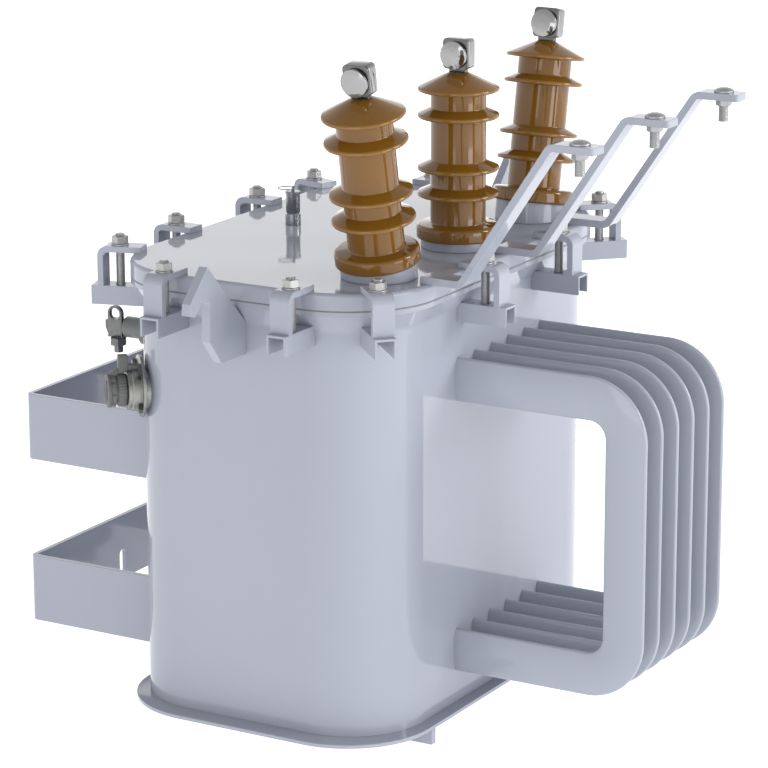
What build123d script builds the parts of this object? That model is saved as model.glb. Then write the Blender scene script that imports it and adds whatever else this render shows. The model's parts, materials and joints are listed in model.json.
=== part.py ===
from build123d import *
import os
from math import atan2, cos, degrees, radians, sin, sqrt, tan

os.makedirs("parts", exist_ok=True)

# Pole-mounted three-phase distribution transformer with an oil-filled tank.
# X runs along the row of high-voltage bushings and +Y is the side that faces the pole.
# The origin is on the ground under the middle of the tank, and +Z is up.

# Tank, a rolled sheet wall that flares out to a flat sealing rim
tank_length = 610
tank_depth = 396
tank_corner = 106
tank_sheet = 3
wall_height = 525
flare = 15
flare_height = 23
flare_bend = 12
rim_height = 6
rim_width = 18

# Bottom plate and the two flat bars that it stands on
rail_height = 20
rail_width = 10
rail_spacing = 406
plate_thickness = 5
plate_margin_x = 29
plate_front_margin = 18
plate_back_margin = 7
plate_corner = 117

# Cover, a pressed pan on a flat gasket
gasket_thickness = 2
gasket_width = 16
cover_height = 21
cover_sheet = 3
cover_edge = 5

# Clamps that hold the cover down, each on a channel welded to the wall
clamp_width = 28
clamp_thickness = 8
clamp_tip = 2
clamp_reach = 60.5
clamp_bend = 5
clamp_side_x = 100
clamp_front_angle = 45
clamp_back_angle = 73
clamp_bolt_reach = 33.5
channel_width = 27
channel_height = 25
channel_sheet = 3
channel_reach = 69.5
channel_below_rim = 21
m12_thread = 12
m12_hole = 13.5
m12_across_flats = 19
m12_head_height = 7.5
m12_nut_height = 10
m12_washer = 24
m12_washer_thickness = 2
m12_thread_end = 4

# Cooling tubes, flat ovals bent into a C
tube_count = 6
tube_pitch = 45
tube_middle_x = 2
tube_depth = 57
tube_width = 14
tube_edge = 3.5
tube_sheet = 1.5
tube_bend = 51.5
tube_reach = 267
tube_low_z = 96.5
tube_high_z = 457.5

# Pole brackets, bent plate with a hook slot
bracket_width = 416.5
bracket_reach = 205.5
bracket_plate = 5
bracket_bend = 8
bracket_low_z = 66
bracket_low_height = 89
bracket_high_z = 292.5
bracket_high_height = 87.5
bracket_slot_width = 18.5
bracket_slot_height = 42.5

# Lifting lugs, flame-cut plate: outline as (reach from the wall, rise above the flare's foot)
lug_thickness = 12
lug_apex = (86, 87)
lug_shoulder = (125, 48)
lug_tip = (127, 34)
lug_tip_inside = (114, 30)
lug_notch_start = (104, 40)
lug_notch_top = (91, 46)
lug_notch_end = (82, 35)
lug_waist = (83, -8)
lug_heel = (57, -40)

# High-voltage bushings: heights are measured along the bushing from its seat
hv_end_distance = 100
hv_wall_distance = 61.5
hv_lean = 10.3
seat_radius = 48
seat_height = 12
stem_radius = 28
tail_length = 70
tail_radius = 22
collar_radius = 53.5
collar_height = 18
collar_edge = 5
collar_foot_edge = 2.4
collar_slope = 1.7
neck_radius = 35.6
shed_radius = 52.5
shed_rise = 12.5
shed_edge = 3.2
shed_heights = [54.7, 88.3, 156.3]
cap_height = 190.6
cap_rise = 23.5
cap_top_radius = 13
hv_stud = 13
hv_stud_tail = 10

# Conductor clamp on top of each high-voltage bushing
hv_neck_width = 24
hv_neck_thickness = 8
hv_block_width = 36
hv_block_height = 39.5
hv_block_thickness = 16
hv_block_offset = 2.6
hv_block_corner = 6
hv_block_lift = 4.5
hv_plate_thickness = 4
hv_bolt = 10
hv_bolt_head = 38
hv_bolt_rim = 3
hv_bolt_dome = 4.5
hv_bolt_depth = 12

# Brackets for the surge arresters, flat bar bent to a pad above the cooling tubes
arrester_inset = 7
arrester_splay = 2
arrester_width = 30
arrester_thickness = 9.5
arrester_foot_reach = 2
arrester_knee_reach = 59
arrester_elbow_reach = 182
arrester_end_reach = 242
arrester_rise = 183.5
arrester_bend = 12
arrester_corner = 5
arrester_bolt_reach = 216
arrester_hole = 15
arrester_bolt = 13.5
arrester_bolt_head = 26
arrester_bolt_rim = 2.5
arrester_bolt_dome = 4
arrester_bolt_length = 38
arrester_nut = 18
arrester_nut_height = 8

# Pressure relief valve on the cover
valve_x = 4
valve_wall_distance = 83
valve_diameter = 20
valve_body_height = 15.6
valve_cap_height = 29.4
valve_cap_edge = 1.2
valve_stem = 12
valve_stem_length = 20
valve_pin = 5
valve_pin_rise = 7
valve_pin_depth = 18
valve_eye = 2.8
valve_eye_drop = 3
valve_ring = 19
valve_ring_wire = 1.8
valve_ring_angle = 120

# Low-voltage bushings on the pole side
lv_count = 4
lv_end_distance = 119
lv_z = 486.5
lv_flange_radius = 28
lv_flange_thickness = 8
lv_body_radius = 21
lv_body_length = 18
lv_cone_length = 6
lv_shaft_radius = 14
lv_shaft_length = 24
lv_tail_radius = 15
lv_tail_length = 40
lv_stud = 16
lv_stud_tail = 10

# Terminal on each low-voltage bushing: a saddle, and an eye bolt that pulls the cable on to it
lv_saddle_gap = 2
lv_saddle_depth = 30
lv_saddle_width = 18
lv_saddle_height = 21
lv_saddle_drop = 14.5
lv_saddle_slant = 5
lv_saddle_face = 10
lv_eye_width = 22
lv_eye_thickness = 6
lv_eye_hole = 15.5
lv_eye_rise = 17.5
lv_eye_stud = 12
lv_eye_stud_length = 23
lv_nut_height = 12

# Tap changer on a rounded corner of the tank, turned from +Y towards -X
tap_turn = 43
tap_z = 434
tap_seat_depth = 14
tap_seat_reach = 4
tap_flange_radius = 40.5
tap_flange_thickness = 4
tap_spigot_radius = 18
tap_spigot_length = 12
tap_housing_radius = 28
tap_housing_length = 12
tap_knob_radius = 22
tap_knob_length = 30
tap_knob_gap = 0.6
tap_groove_count = 8
tap_groove_radius = 3
tap_shaft = 12
tap_hook_width = 10
tap_hook_rise = 15
tap_hook_reach = 21
tap_hook_thickness = 8
tap_hook_gap = 1.5
tap_bolt = 6
tap_bolt_count = 4
tap_bolt_circle = 34.5
tap_bolt_angle = 45
tap_bolt_depth = 5
tap_bolt_head = 8
tap_bolt_head_height = 5
tap_switch_radius = 35
tap_switch_length = 26
tap_switch_depth = 56

# Active part inside the oil: laminated core, windings, clamps and leads
core_limb_room = 22
core_stack_room = 19
core_step = 10
core_window = 270
core_z = 60
lv_winding_build = 12
hv_winding_build = 11
winding_duct = 4
winding_phase_gap = 8
winding_end_room = 21
winding_gap = 0.3
core_clamp_plate = 5
core_clamp_flange = 30
core_clamp_overhang = 28
core_clamp_low_gap = 9
core_clamp_high_gap = 10
core_clamp_high_drop = 14
tie_bolt = 12
tie_bolt_room = 16
lead_radius = 4
lead_bend = 30
lead_gap = 1.3
hv_lead_high = 510
hv_lead_low = 460
lead_end = 375

# Clearances
weld_gap = 0.1
thread_gap = 0.2
bore_gap = 0.3
bushing_gap = 1

# Levels and faces that follow from the sizes above
tank_bottom = rail_height + plate_thickness
flare_start = tank_bottom + wall_height
rim_bottom = flare_start + flare_height
rim_top = rim_bottom + rim_height
gasket_top = rim_top + gasket_thickness
cover_top = gasket_top + cover_height
front_wall = -tank_depth / 2
back_wall = tank_depth / 2
plate_depth = tank_depth + plate_front_margin + plate_back_margin
plate_y = (plate_back_margin - plate_front_margin) / 2
corner_x = tank_length / 2 - tank_corner
corner_y = tank_depth / 2 - tank_corner
clamp_end_y = corner_y
hv_pitch = tank_length / 2 - hv_end_distance
hv_y = front_wall + hv_wall_distance
arrester_pitch = hv_pitch - arrester_inset
arrester_foot_y = front_wall - arrester_foot_reach
arrester_knee_y = front_wall - arrester_knee_reach
arrester_elbow_y = front_wall - arrester_elbow_reach
arrester_end_y = front_wall - arrester_end_reach
arrester_bolt_y = front_wall - arrester_bolt_reach
valve_y = back_wall - valve_wall_distance
lv_pitch = (tank_length - 2 * lv_end_distance) / (lv_count - 1)
channel_top = rim_top - channel_below_rim
clamp_top = cover_top + clamp_thickness
nut_seat = clamp_top + m12_washer_thickness
cap_top = cap_height + cap_rise
flare_angle = atan2(flare, flare_height)

# Half the tank's length holds one and a half windings, the gap between two of them and the end room
hv_winding_outer = (tank_length / 2 - tank_sheet - winding_end_room - winding_phase_gap) / 3
hv_winding_inner = hv_winding_outer - hv_winding_build
lv_winding_outer = hv_winding_inner - winding_duct
lv_winding_inner = lv_winding_outer - lv_winding_build
core_pitch = 2 * hv_winding_outer + winding_phase_gap
core_limb = 2 * (lv_winding_inner - core_limb_room)
core_stack = 2 * (lv_winding_inner - core_stack_room)
core_clamp_length = 2 * core_pitch + core_limb + 2 * core_clamp_overhang
tie_bolt_x = core_pitch + core_limb / 2 + tie_bolt_room
core_clamp_low_height = core_z + core_limb - core_clamp_low_gap - tank_bottom
core_clamp_high_height = core_limb - core_clamp_high_drop - core_clamp_high_gap


def save(piece, name):
    """Label a finished piece and write its STEP file."""
    piece.part.label = name
    export_step(piece.part, f"parts/{name}.step")


def tank_outline(margin):
    """Rounded outline of the tank, grown by a margin."""
    RectangleRounded(
        tank_length + 2 * margin,
        tank_depth + 2 * margin,
        tank_corner + margin,
    )


def rim_outline(width):
    """Ring of the given width along the outer edge of the rim."""
    tank_outline(flare)
    RectangleRounded(
        tank_length + 2 * (flare - width),
        tank_depth + 2 * (flare - width),
        tank_corner + flare - width,
        mode=Mode.SUBTRACT,
    )


# Path round the outside of the wall's foot, and the plane of a section across the wall
with BuildLine(Plane.XY.offset(tank_bottom)) as wall_path:
    FilletPolyline(
        (-tank_length / 2, front_wall),
        (tank_length / 2, front_wall),
        (tank_length / 2, back_wall),
        (-tank_length / 2, back_wall),
        radius=tank_corner,
        close=True,
    )
wall_ahead = wall_path.line % 0
wall_plane = Plane(
    wall_path.line @ 0, x_dir=wall_ahead.cross(Vector(0, 0, 1)), z_dir=-wall_ahead
)


def wall_section(grow, sheet):
    """Section of the flared wall: its outer face moved out by grow, its inner face in by sheet."""
    rim_level = wall_height + flare_height
    bend_shift = tan(flare_angle / 2)
    with BuildLine() as outline:
        outer = FilletPolyline(
            (grow, 0),
            (grow, wall_height - grow * bend_shift),
            (flare + grow, rim_level - grow * bend_shift),
            radius=flare_bend,
        )
        Polyline(
            outer @ 1,
            (flare - sheet / cos(flare_angle), rim_level - grow * bend_shift),
            (-sheet, wall_height + sheet * bend_shift),
            (-sheet, 0),
            outer @ 0,
        )
    make_face(outline.edges())


def oval_outline(depth, width, edge):
    """Flat oval with two broad sides and two narrow ends, all of them tangent arcs."""
    edge_centre = depth / 2 - edge
    side_radius = (edge_centre**2 + (width / 2) ** 2 - edge**2) / (width - 2 * edge)
    turn = atan2(edge_centre, side_radius - width / 2)
    side, end = edge * cos(turn), edge_centre + edge * sin(turn)
    with BuildLine() as outline:
        ThreePointArc((side, -end), (width / 2, 0), (side, end))
        ThreePointArc((side, end), (0, depth / 2), (-side, end))
        ThreePointArc((-side, end), (-width / 2, 0), (-side, -end))
        ThreePointArc((-side, -end), (0, -depth / 2), (side, -end))
    make_face(outline.edges())


def bushing_plane(side):
    """Foot plane of a high-voltage bushing, whose normal is the bushing's axis."""
    lean = radians(hv_lean * side)
    return Plane(
        (side * hv_pitch, hv_y, cover_top + seat_height + seat_radius * abs(sin(lean))),
        x_dir=(cos(lean), 0, -sin(lean)),
        z_dir=(sin(lean), 0, cos(lean)),
    )


def tap_plane(reach):
    """Plane across the tap changer's axis, facing outward, at this reach from the wall."""
    turn = radians(tap_turn)
    outward = (-sin(turn), cos(turn), 0)
    radius = tank_corner + reach
    return Plane(
        (-corner_x + radius * outward[0], corner_y + radius * outward[1], tap_z),
        x_dir=(-cos(turn), -sin(turn), 0),
        z_dir=outward,
    )


front_plane = Plane((0, front_wall, 0), x_dir=(1, 0, 0), z_dir=(0, -1, 0))
back_plane = Plane((0, back_wall, 0), x_dir=(-1, 0, 0), z_dir=(0, 1, 0))
hv_planes = [bushing_plane(side) for side in (-1, 0, 1)]
tube_places = [tube_middle_x + tube_pitch * (i - (tube_count - 1) / 2) for i in range(tube_count)]
lv_places = [lv_pitch * (i - (lv_count - 1) / 2) for i in range(lv_count)]
arrester_spots = [
    Location((side * arrester_pitch, arrester_knee_y, 0), (0, 0, side * arrester_splay))
    * Location((0, -arrester_knee_y, 0))
    for side in (-1, 0, 1)
]

# Foot rails
for name, side in (("foot_rail_left", -1), ("foot_rail_right", 1)):
    with BuildPart() as foot_rail:
        with BuildSketch():
            with Locations((side * rail_spacing / 2, plate_y)):
                Rectangle(rail_width, plate_depth)
        extrude(amount=rail_height)
    save(foot_rail, name)

# Bottom plate
with BuildPart() as bottom_plate:
    with BuildSketch(Plane.XY.offset(rail_height)):
        with Locations((0, plate_y)):
            RectangleRounded(tank_length + 2 * plate_margin_x, plate_depth, plate_corner)
    extrude(amount=plate_thickness)
save(bottom_plate, "bottom_plate")

# Sections of a cooling tube, outside and inside, and of its hole in the wall
with BuildSketch() as tube_outside:
    oval_outline(tube_depth, tube_width, tube_edge)
with BuildSketch() as tube_inside:
    oval_outline(tube_depth - 2 * tube_sheet, tube_width - 2 * tube_sheet, tube_edge - tube_sheet)
with BuildSketch() as tube_hole:
    oval_outline(tube_depth + 2 * weld_gap, tube_width + 2 * weld_gap, tube_edge + weld_gap)

# Tank shell: the wall section swept round the tank, the rim, and the openings in the walls
with BuildPart() as tank_shell:
    with BuildSketch(wall_plane):
        wall_section(0, tank_sheet)
    sweep(path=wall_path.line)
    with BuildSketch(Plane.XY.offset(rim_bottom)):
        rim_outline(rim_width)
    extrude(amount=rim_height)
    with BuildSketch(front_plane):
        with Locations(*[(x, z) for x in tube_places for z in (tube_low_z, tube_high_z)]):
            add(tube_hole.sketch)
    extrude(amount=2 * tank_sheet, both=True, mode=Mode.SUBTRACT)
    with BuildSketch(back_plane):
        with Locations(*[(-x, lv_z) for x in lv_places]):
            Circle(lv_tail_radius + bushing_gap)
    extrude(amount=2 * tank_sheet, both=True, mode=Mode.SUBTRACT)
    with BuildSketch(tap_plane(0)):
        Circle(tap_spigot_radius + bore_gap)
    extrude(amount=tap_seat_depth, both=True, mode=Mode.SUBTRACT)
save(tank_shell, "tank_shell")

# Band along the outside of the wall, which trims what is welded on to the wall's form
with BuildPart() as wall_seat:
    with BuildSketch(wall_plane):
        wall_section(weld_gap, 3 * tank_sheet)
    sweep(path=wall_path.line)

# Gasket between the rim and the cover
with BuildPart() as cover_gasket:
    with BuildSketch(Plane.XY.offset(rim_top)):
        rim_outline(gasket_width)
    extrude(amount=gasket_thickness)
save(cover_gasket, "cover_gasket")

# Cover: a pan with a turned-down skirt, and holes for the bushings and the relief valve
with BuildPart() as cover:
    with BuildSketch(Plane.XY.offset(gasket_top)):
        tank_outline(flare)
    extrude(amount=cover_height)
    fillet(cover.faces().sort_by(Axis.Z)[-1].edges(), cover_edge)
    with BuildSketch(Plane.XY.offset(gasket_top)):
        tank_outline(flare - cover_sheet)
    extrude(amount=cover_height - cover_sheet, mode=Mode.SUBTRACT)
    for foot in hv_planes:
        with BuildSketch(foot):
            Circle(stem_radius + bushing_gap)
        extrude(amount=-2 * seat_radius, mode=Mode.SUBTRACT)
    with BuildSketch(Plane.XY.offset(cover_top)):
        with Locations((valve_x, valve_y)):
            Circle(valve_stem / 2 + bore_gap)
    extrude(amount=-cover_height, mode=Mode.SUBTRACT)
save(cover, "cover")


def corner_spot(side_x, side_y, angle):
    """Clamp spot on a rounded corner of the tank, at an angle from the X axis."""
    turn = radians(angle)
    outward = (side_x * cos(turn), side_y * sin(turn))
    x = side_x * corner_x + tank_corner * outward[0]
    y = side_y * corner_y + tank_corner * outward[1]
    return Location((x, y, 0), (0, 0, degrees(atan2(outward[1], outward[0]))))


# Clamp spots on the wall, each with its X pointing outward
clamp_spots = [
    *[Location((side * clamp_side_x, front_wall, 0), (0, 0, -90)) for side in (-1, 1)],
    *[Location((side * clamp_side_x, back_wall, 0), (0, 0, 90)) for side in (-1, 1)],
    *[Location((tank_length / 2, side * clamp_end_y, 0)) for side in (-1, 1)],
    *[Location((-tank_length / 2, side * clamp_end_y, 0), (0, 0, 180)) for side in (-1, 1)],
    *[corner_spot(side, -1, clamp_front_angle) for side in (-1, 1)],
    *[corner_spot(side, 1, clamp_back_angle) for side in (-1, 1)],
]


def save_round_rim(piece, name):
    """Repeat one piece at every clamp spot and write the set."""
    with BuildPart() as pieces:
        with Locations(*clamp_spots):
            add(piece.part)
    save(pieces, name)


# Channels under the clamps: upside-down U sections, open at the outer end
with BuildPart() as channel:
    with BuildSketch(Plane.YZ.offset(-tank_sheet)):
        with Locations((0, channel_top)):
            Rectangle(channel_width, channel_height, align=(Align.CENTER, Align.MAX))
        with Locations((0, channel_top - channel_sheet)):
            Rectangle(
                channel_width - 2 * channel_sheet,
                channel_height - channel_sheet,
                align=(Align.CENTER, Align.MAX),
                mode=Mode.SUBTRACT,
            )
    extrude(amount=channel_reach + tank_sheet)
    with BuildSketch(Plane.XY.offset(channel_top)):
        with Locations((clamp_bolt_reach, 0)):
            Circle(m12_hole / 2)
    extrude(amount=-channel_sheet, mode=Mode.SUBTRACT)
with BuildPart() as clamp_channels:
    with Locations(*clamp_spots):
        add(channel.part)
    add(wall_seat.part, mode=Mode.SUBTRACT)
save(clamp_channels, "clamp_channels")

# Clamp: a flat bar bent at a right angle, its arm on the cover and its leg on the channel
with BuildPart() as clamp:
    with BuildSketch(Plane.XZ.offset(-clamp_width / 2)):
        with BuildLine():
            outside = FilletPolyline(
                (clamp_tip, clamp_top),
                (clamp_reach, clamp_top),
                (clamp_reach, channel_top),
                radius=clamp_bend + clamp_thickness,
            )
            inside = FilletPolyline(
                (clamp_reach - clamp_thickness, channel_top),
                (clamp_reach - clamp_thickness, cover_top),
                (clamp_tip, cover_top),
                radius=clamp_bend,
            )
            Line(outside @ 1, inside @ 0)
            Line(inside @ 1, outside @ 0)
        make_face()
    extrude(amount=clamp_width)
    with BuildSketch(Plane.XY.offset(cover_top)):
        with Locations((clamp_bolt_reach, 0)):
            Circle(m12_hole / 2)
    extrude(amount=clamp_thickness, mode=Mode.SUBTRACT)
save_round_rim(clamp, "cover_clamps")

# Bolt, washer and nut of a clamp, the bolt's head inside the channel
with BuildPart() as clamp_bolt:
    with BuildSketch(Plane.XY.offset(channel_top - channel_sheet)):
        with Locations((clamp_bolt_reach, 0)):
            RegularPolygon(m12_across_flats / 2, 6, major_radius=False)
    extrude(amount=-m12_head_height)
    with BuildSketch(Plane.XY.offset(channel_top - channel_sheet)):
        with Locations((clamp_bolt_reach, 0)):
            Circle(m12_thread / 2)
    extrude(amount=nut_seat + m12_nut_height + m12_thread_end - channel_top + channel_sheet)
save_round_rim(clamp_bolt, "clamp_bolts")

with BuildPart() as clamp_washer:
    with BuildSketch(Plane.XY.offset(clamp_top)):
        with Locations((clamp_bolt_reach, 0)):
            Circle(m12_washer / 2)
            Circle(m12_thread / 2 + thread_gap, mode=Mode.SUBTRACT)
    extrude(amount=m12_washer_thickness)
save_round_rim(clamp_washer, "clamp_washers")

with BuildPart() as clamp_nut:
    with BuildSketch(Plane.XY.offset(nut_seat)):
        with Locations((clamp_bolt_reach, 0)):
            RegularPolygon(m12_across_flats / 2, 6, major_radius=False)
            Circle(m12_thread / 2 + thread_gap, mode=Mode.SUBTRACT)
    extrude(amount=m12_nut_height)
save_round_rim(clamp_nut, "clamp_nuts")

# Cooling tubes: each runs out of the wall, down and back into the wall
tube_inner_y = front_wall + tank_sheet
tube_outer_y = front_wall - tube_reach + tube_depth / 2
for number, x in enumerate(tube_places, start=1):
    tube_start = Plane((x, tube_inner_y, tube_high_z), x_dir=(1, 0, 0), z_dir=(0, -1, 0))
    with BuildLine(Plane.YZ.offset(x)) as tube_path:
        FilletPolyline(
            (tube_inner_y, tube_high_z),
            (tube_outer_y, tube_high_z),
            (tube_outer_y, tube_low_z),
            (tube_inner_y, tube_low_z),
            radius=tube_bend,
        )
    with BuildPart() as cooling_tube:
        with BuildSketch(tube_start):
            add(tube_outside.sketch)
        sweep(path=tube_path.line)
        with BuildSketch(tube_start):
            add(tube_inside.sketch)
        sweep(path=tube_path.line, mode=Mode.SUBTRACT)
    save(cooling_tube, f"cooling_tube_{number}")

# Pole brackets: bent plate open above and below, with a slot that hooks over a pole band's bolt.
# Their sides reach back to where the wall's rounded corner falls away from them.
bracket_outer_y = back_wall + bracket_reach
bracket_overhang = max(0, bracket_width / 2 - corner_x)
corner_fall = tank_corner - sqrt(tank_corner**2 - bracket_overhang**2)
for name, level, height in (
    ("pole_bracket_lower", bracket_low_z, bracket_low_height),
    ("pole_bracket_upper", bracket_high_z, bracket_high_height),
):
    with BuildPart() as pole_bracket:
        with BuildSketch(Plane.XY.offset(level)):
            with BuildLine():
                outside = FilletPolyline(
                    (-bracket_width / 2, corner_y),
                    (-bracket_width / 2, bracket_outer_y),
                    (bracket_width / 2, bracket_outer_y),
                    (bracket_width / 2, corner_y),
                    radius=bracket_bend,
                )
                inside = FilletPolyline(
                    (bracket_width / 2 - bracket_plate, corner_y),
                    (bracket_width / 2 - bracket_plate, bracket_outer_y - bracket_plate),
                    (bracket_plate - bracket_width / 2, bracket_outer_y - bracket_plate),
                    (bracket_plate - bracket_width / 2, corner_y),
                    radius=bracket_bend - bracket_plate,
                )
                Line(outside @ 1, inside @ 0)
                Line(inside @ 1, outside @ 0)
            make_face()
            with Locations((0, corner_y)):
                Rectangle(
                    bracket_width,
                    back_wall - corner_fall - tank_sheet - corner_y,
                    align=(Align.CENTER, Align.MIN),
                    mode=Mode.SUBTRACT,
                )
        extrude(amount=height)
        with BuildSketch(
            Plane((0, bracket_outer_y, level), x_dir=(-1, 0, 0), z_dir=(0, 1, 0))
        ):
            slot_straight = bracket_slot_height - bracket_slot_width / 2
            Rectangle(bracket_slot_width, slot_straight, align=(Align.CENTER, Align.MIN))
            with Locations((0, slot_straight)):
                Circle(bracket_slot_width / 2)
        extrude(amount=-bracket_plate, mode=Mode.SUBTRACT)
        add(wall_seat.part, mode=Mode.SUBTRACT)
    save(pole_bracket, name)

# Lifting lugs: the notch opens downward behind the tip, for a sling
for name, side in (("lifting_lug_left", -1), ("lifting_lug_right", 1)):
    with BuildPart() as lifting_lug:
        lug_plane = Plane(
            (side * tank_length / 2, side * lug_thickness / 2, flare_start),
            x_dir=(side, 0, 0),
            z_dir=(0, -side, 0),
        )
        with BuildSketch(lug_plane):
            with BuildLine():
                Polyline((-tank_sheet, 0), (0, 0), lug_apex, lug_shoulder, lug_tip, lug_tip_inside)
                Line(lug_tip_inside, lug_notch_start)
                ThreePointArc(lug_notch_start, lug_notch_top, lug_notch_end)
                Polyline(lug_notch_end, lug_waist, lug_heel, (-tank_sheet, lug_heel[1]))
                Line((-tank_sheet, lug_heel[1]), (-tank_sheet, 0))
            make_face()
        extrude(amount=lug_thickness)
        add(wall_seat.part, mode=Mode.SUBTRACT)
    save(lifting_lug, name)


def insulator_outline():
    """Half section of a high-voltage insulator, as (radius, height along its axis)."""
    bore = hv_stud / 2 + bore_gap
    with BuildLine() as outline:
        foot = Polyline(
            (bore, -tail_length),
            (tail_radius, -tail_length),
            (stem_radius, 0),
            (collar_radius - collar_edge, 0),
        )
        collar = FilletPolyline(
            foot @ 1,
            (collar_radius, 0),
            (collar_radius, collar_height),
            (neck_radius, collar_height + collar_slope),
            radius=[collar_foot_edge, collar_edge],
        )
        last = collar @ 1
        for height in shed_heights:
            shed = Polyline(
                last,
                (neck_radius, height),
                (shed_radius - shed_edge, height),
            )
            rim = ThreePointArc(
                shed @ 1,
                (shed_radius, height + shed_edge),
                (shed_radius - shed_edge, height + 2 * shed_edge),
            )
            slope = Line(rim @ 1, (neck_radius, height + shed_rise))
            last = slope @ 1
        cap = Polyline(last, (neck_radius, cap_height), (shed_radius - shed_edge, cap_height))
        cap_rim = ThreePointArc(
            cap @ 1,
            (shed_radius, cap_height + shed_edge),
            (shed_radius - shed_edge, cap_height + 2 * shed_edge),
        )
        Polyline(
            cap_rim @ 1,
            (cap_top_radius, cap_top),
            (bore, cap_top),
            (bore, -tail_length),
        )
    make_face(outline.edges())


# High-voltage bushings: seat ring on the cover, porcelain insulator, and stud with its block
block_centre = cap_top + hv_block_lift + hv_block_height / 2
block_face = hv_block_offset - hv_block_thickness / 2
for number, foot in enumerate(hv_planes, start=1):
    side_plane = Plane(foot.origin, x_dir=foot.x_dir, z_dir=-foot.y_dir)
    block_plane = Plane(foot.origin, x_dir=foot.y_dir, z_dir=foot.x_dir).offset(block_face)
    with BuildPart() as hv_seat:
        with BuildSketch(foot):
            Circle(seat_radius)
            Circle(stem_radius + bushing_gap, mode=Mode.SUBTRACT)
        extrude(amount=-2 * seat_radius)
        split(bisect_by=Plane.XY.offset(cover_top), keep=Keep.TOP)
    save(hv_seat, f"hv_seat_{number}")

    with BuildPart() as hv_insulator:
        with BuildSketch(side_plane):
            insulator_outline()
        revolve(axis=Axis(foot.origin, foot.z_dir))
    save(hv_insulator, f"hv_insulator_{number}")

    with BuildPart() as hv_terminal:
        with BuildSketch(foot.offset(-tail_length - hv_stud_tail)):
            Circle(hv_stud / 2)
        extrude(amount=tail_length + hv_stud_tail + cap_top)
        with BuildSketch(foot.offset(cap_top)):
            Rectangle(hv_neck_thickness, hv_neck_width)
        extrude(amount=hv_block_lift + hv_block_corner)
        with BuildSketch(block_plane):
            with Locations((0, block_centre)):
                RectangleRounded(hv_block_width, hv_block_height, hv_block_corner)
        extrude(amount=hv_block_thickness)
        with BuildSketch(block_plane):
            with Locations((0, block_centre)):
                Circle(hv_bolt / 2 + thread_gap)
        extrude(amount=hv_bolt_depth + bore_gap, mode=Mode.SUBTRACT)
    save(hv_terminal, f"hv_terminal_{number}")

# Pressure plates and their round-headed bolts, which grip the conductors against the blocks
with BuildPart() as hv_pressure_plates:
    for foot in hv_planes:
        block_plane = Plane(foot.origin, x_dir=foot.y_dir, z_dir=foot.x_dir).offset(block_face)
        with BuildSketch(block_plane):
            with Locations((0, block_centre)):
                RectangleRounded(hv_block_width, hv_block_height, hv_block_corner)
                Circle(hv_bolt / 2 + thread_gap, mode=Mode.SUBTRACT)
        extrude(amount=-hv_plate_thickness)
save(hv_pressure_plates, "hv_pressure_plates")


def button_bolt(head, rim, dome, shank, length):
    """Half section of a round-headed bolt: its axis along X, the head's seat at X = 0."""
    dome_radius = ((head / 2) ** 2 + dome**2) / (2 * dome)
    half_turn = atan2(head / 2, dome_radius - dome) / 2
    dome_middle = (
        -rim - dome + dome_radius * (1 - cos(half_turn)),
        dome_radius * sin(half_turn),
    )
    with BuildLine() as outline:
        Polyline((-rim - dome, 0), (length, 0), (length, shank / 2), (0, shank / 2))
        Polyline((0, shank / 2), (0, head / 2), (-rim, head / 2))
        ThreePointArc((-rim, head / 2), dome_middle, (-rim - dome, 0))
    make_face(outline.edges())


with BuildPart() as hv_clamp_bolts:
    for foot in hv_planes:
        seat = foot.origin + foot.z_dir * block_centre
        seat = seat + foot.x_dir * (block_face - hv_plate_thickness)
        with BuildSketch(Plane(seat, x_dir=foot.x_dir, z_dir=-foot.y_dir)):
            button_bolt(
                hv_bolt_head,
                hv_bolt_rim,
                hv_bolt_dome,
                hv_bolt,
                hv_plate_thickness + hv_bolt_depth,
            )
        revolve(axis=Axis(seat, foot.x_dir))
save(hv_clamp_bolts, "hv_clamp_bolts")

# Arrester bracket: a foot on the cover, a sloping arm and a level pad with a bolt hole
arrester_low = cover_top + arrester_thickness / 2
arrester_high = arrester_low + arrester_rise
with BuildLine(Plane.YZ) as arrester_path:
    FilletPolyline(
        (arrester_foot_y, arrester_low),
        (arrester_knee_y, arrester_low),
        (arrester_elbow_y, arrester_high),
        (arrester_end_y, arrester_high),
        radius=arrester_bend,
    )
with BuildPart() as arrester_arm:
    with BuildSketch(
        Plane((0, arrester_foot_y, arrester_low), x_dir=(1, 0, 0), z_dir=(0, -1, 0))
    ):
        Rectangle(arrester_width, arrester_thickness)
    sweep(path=arrester_path.line)
    fillet(arrester_arm.edges().filter_by(Axis.Z).group_by(Axis.Y)[0], arrester_corner)
    with BuildSketch(Plane.XY.offset(arrester_high)):
        with Locations((0, arrester_bolt_y)):
            Circle(arrester_hole / 2)
    extrude(amount=arrester_thickness, both=True, mode=Mode.SUBTRACT)
for number, spot in enumerate(arrester_spots, start=1):
    with BuildPart() as arrester_bracket:
        with Locations(spot):
            add(arrester_arm.part)
    save(arrester_bracket, f"arrester_bracket_{number}")

# Bolt in each pad, its head on top, and the nut below
pad_top = (0, arrester_bolt_y, arrester_high + arrester_thickness / 2)
pad_bottom = arrester_high - arrester_thickness / 2
with BuildPart() as arrester_bolt_piece:
    with BuildSketch(Plane(pad_top, x_dir=(0, 0, -1), z_dir=(1, 0, 0))):
        button_bolt(
            arrester_bolt_head,
            arrester_bolt_rim,
            arrester_bolt_dome,
            arrester_bolt,
            arrester_bolt_length,
        )
    revolve(axis=Axis(pad_top, (0, 0, 1)))
with BuildPart() as arrester_bolts:
    with Locations(*arrester_spots):
        add(arrester_bolt_piece.part)
save(arrester_bolts, "arrester_bolts")

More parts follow.
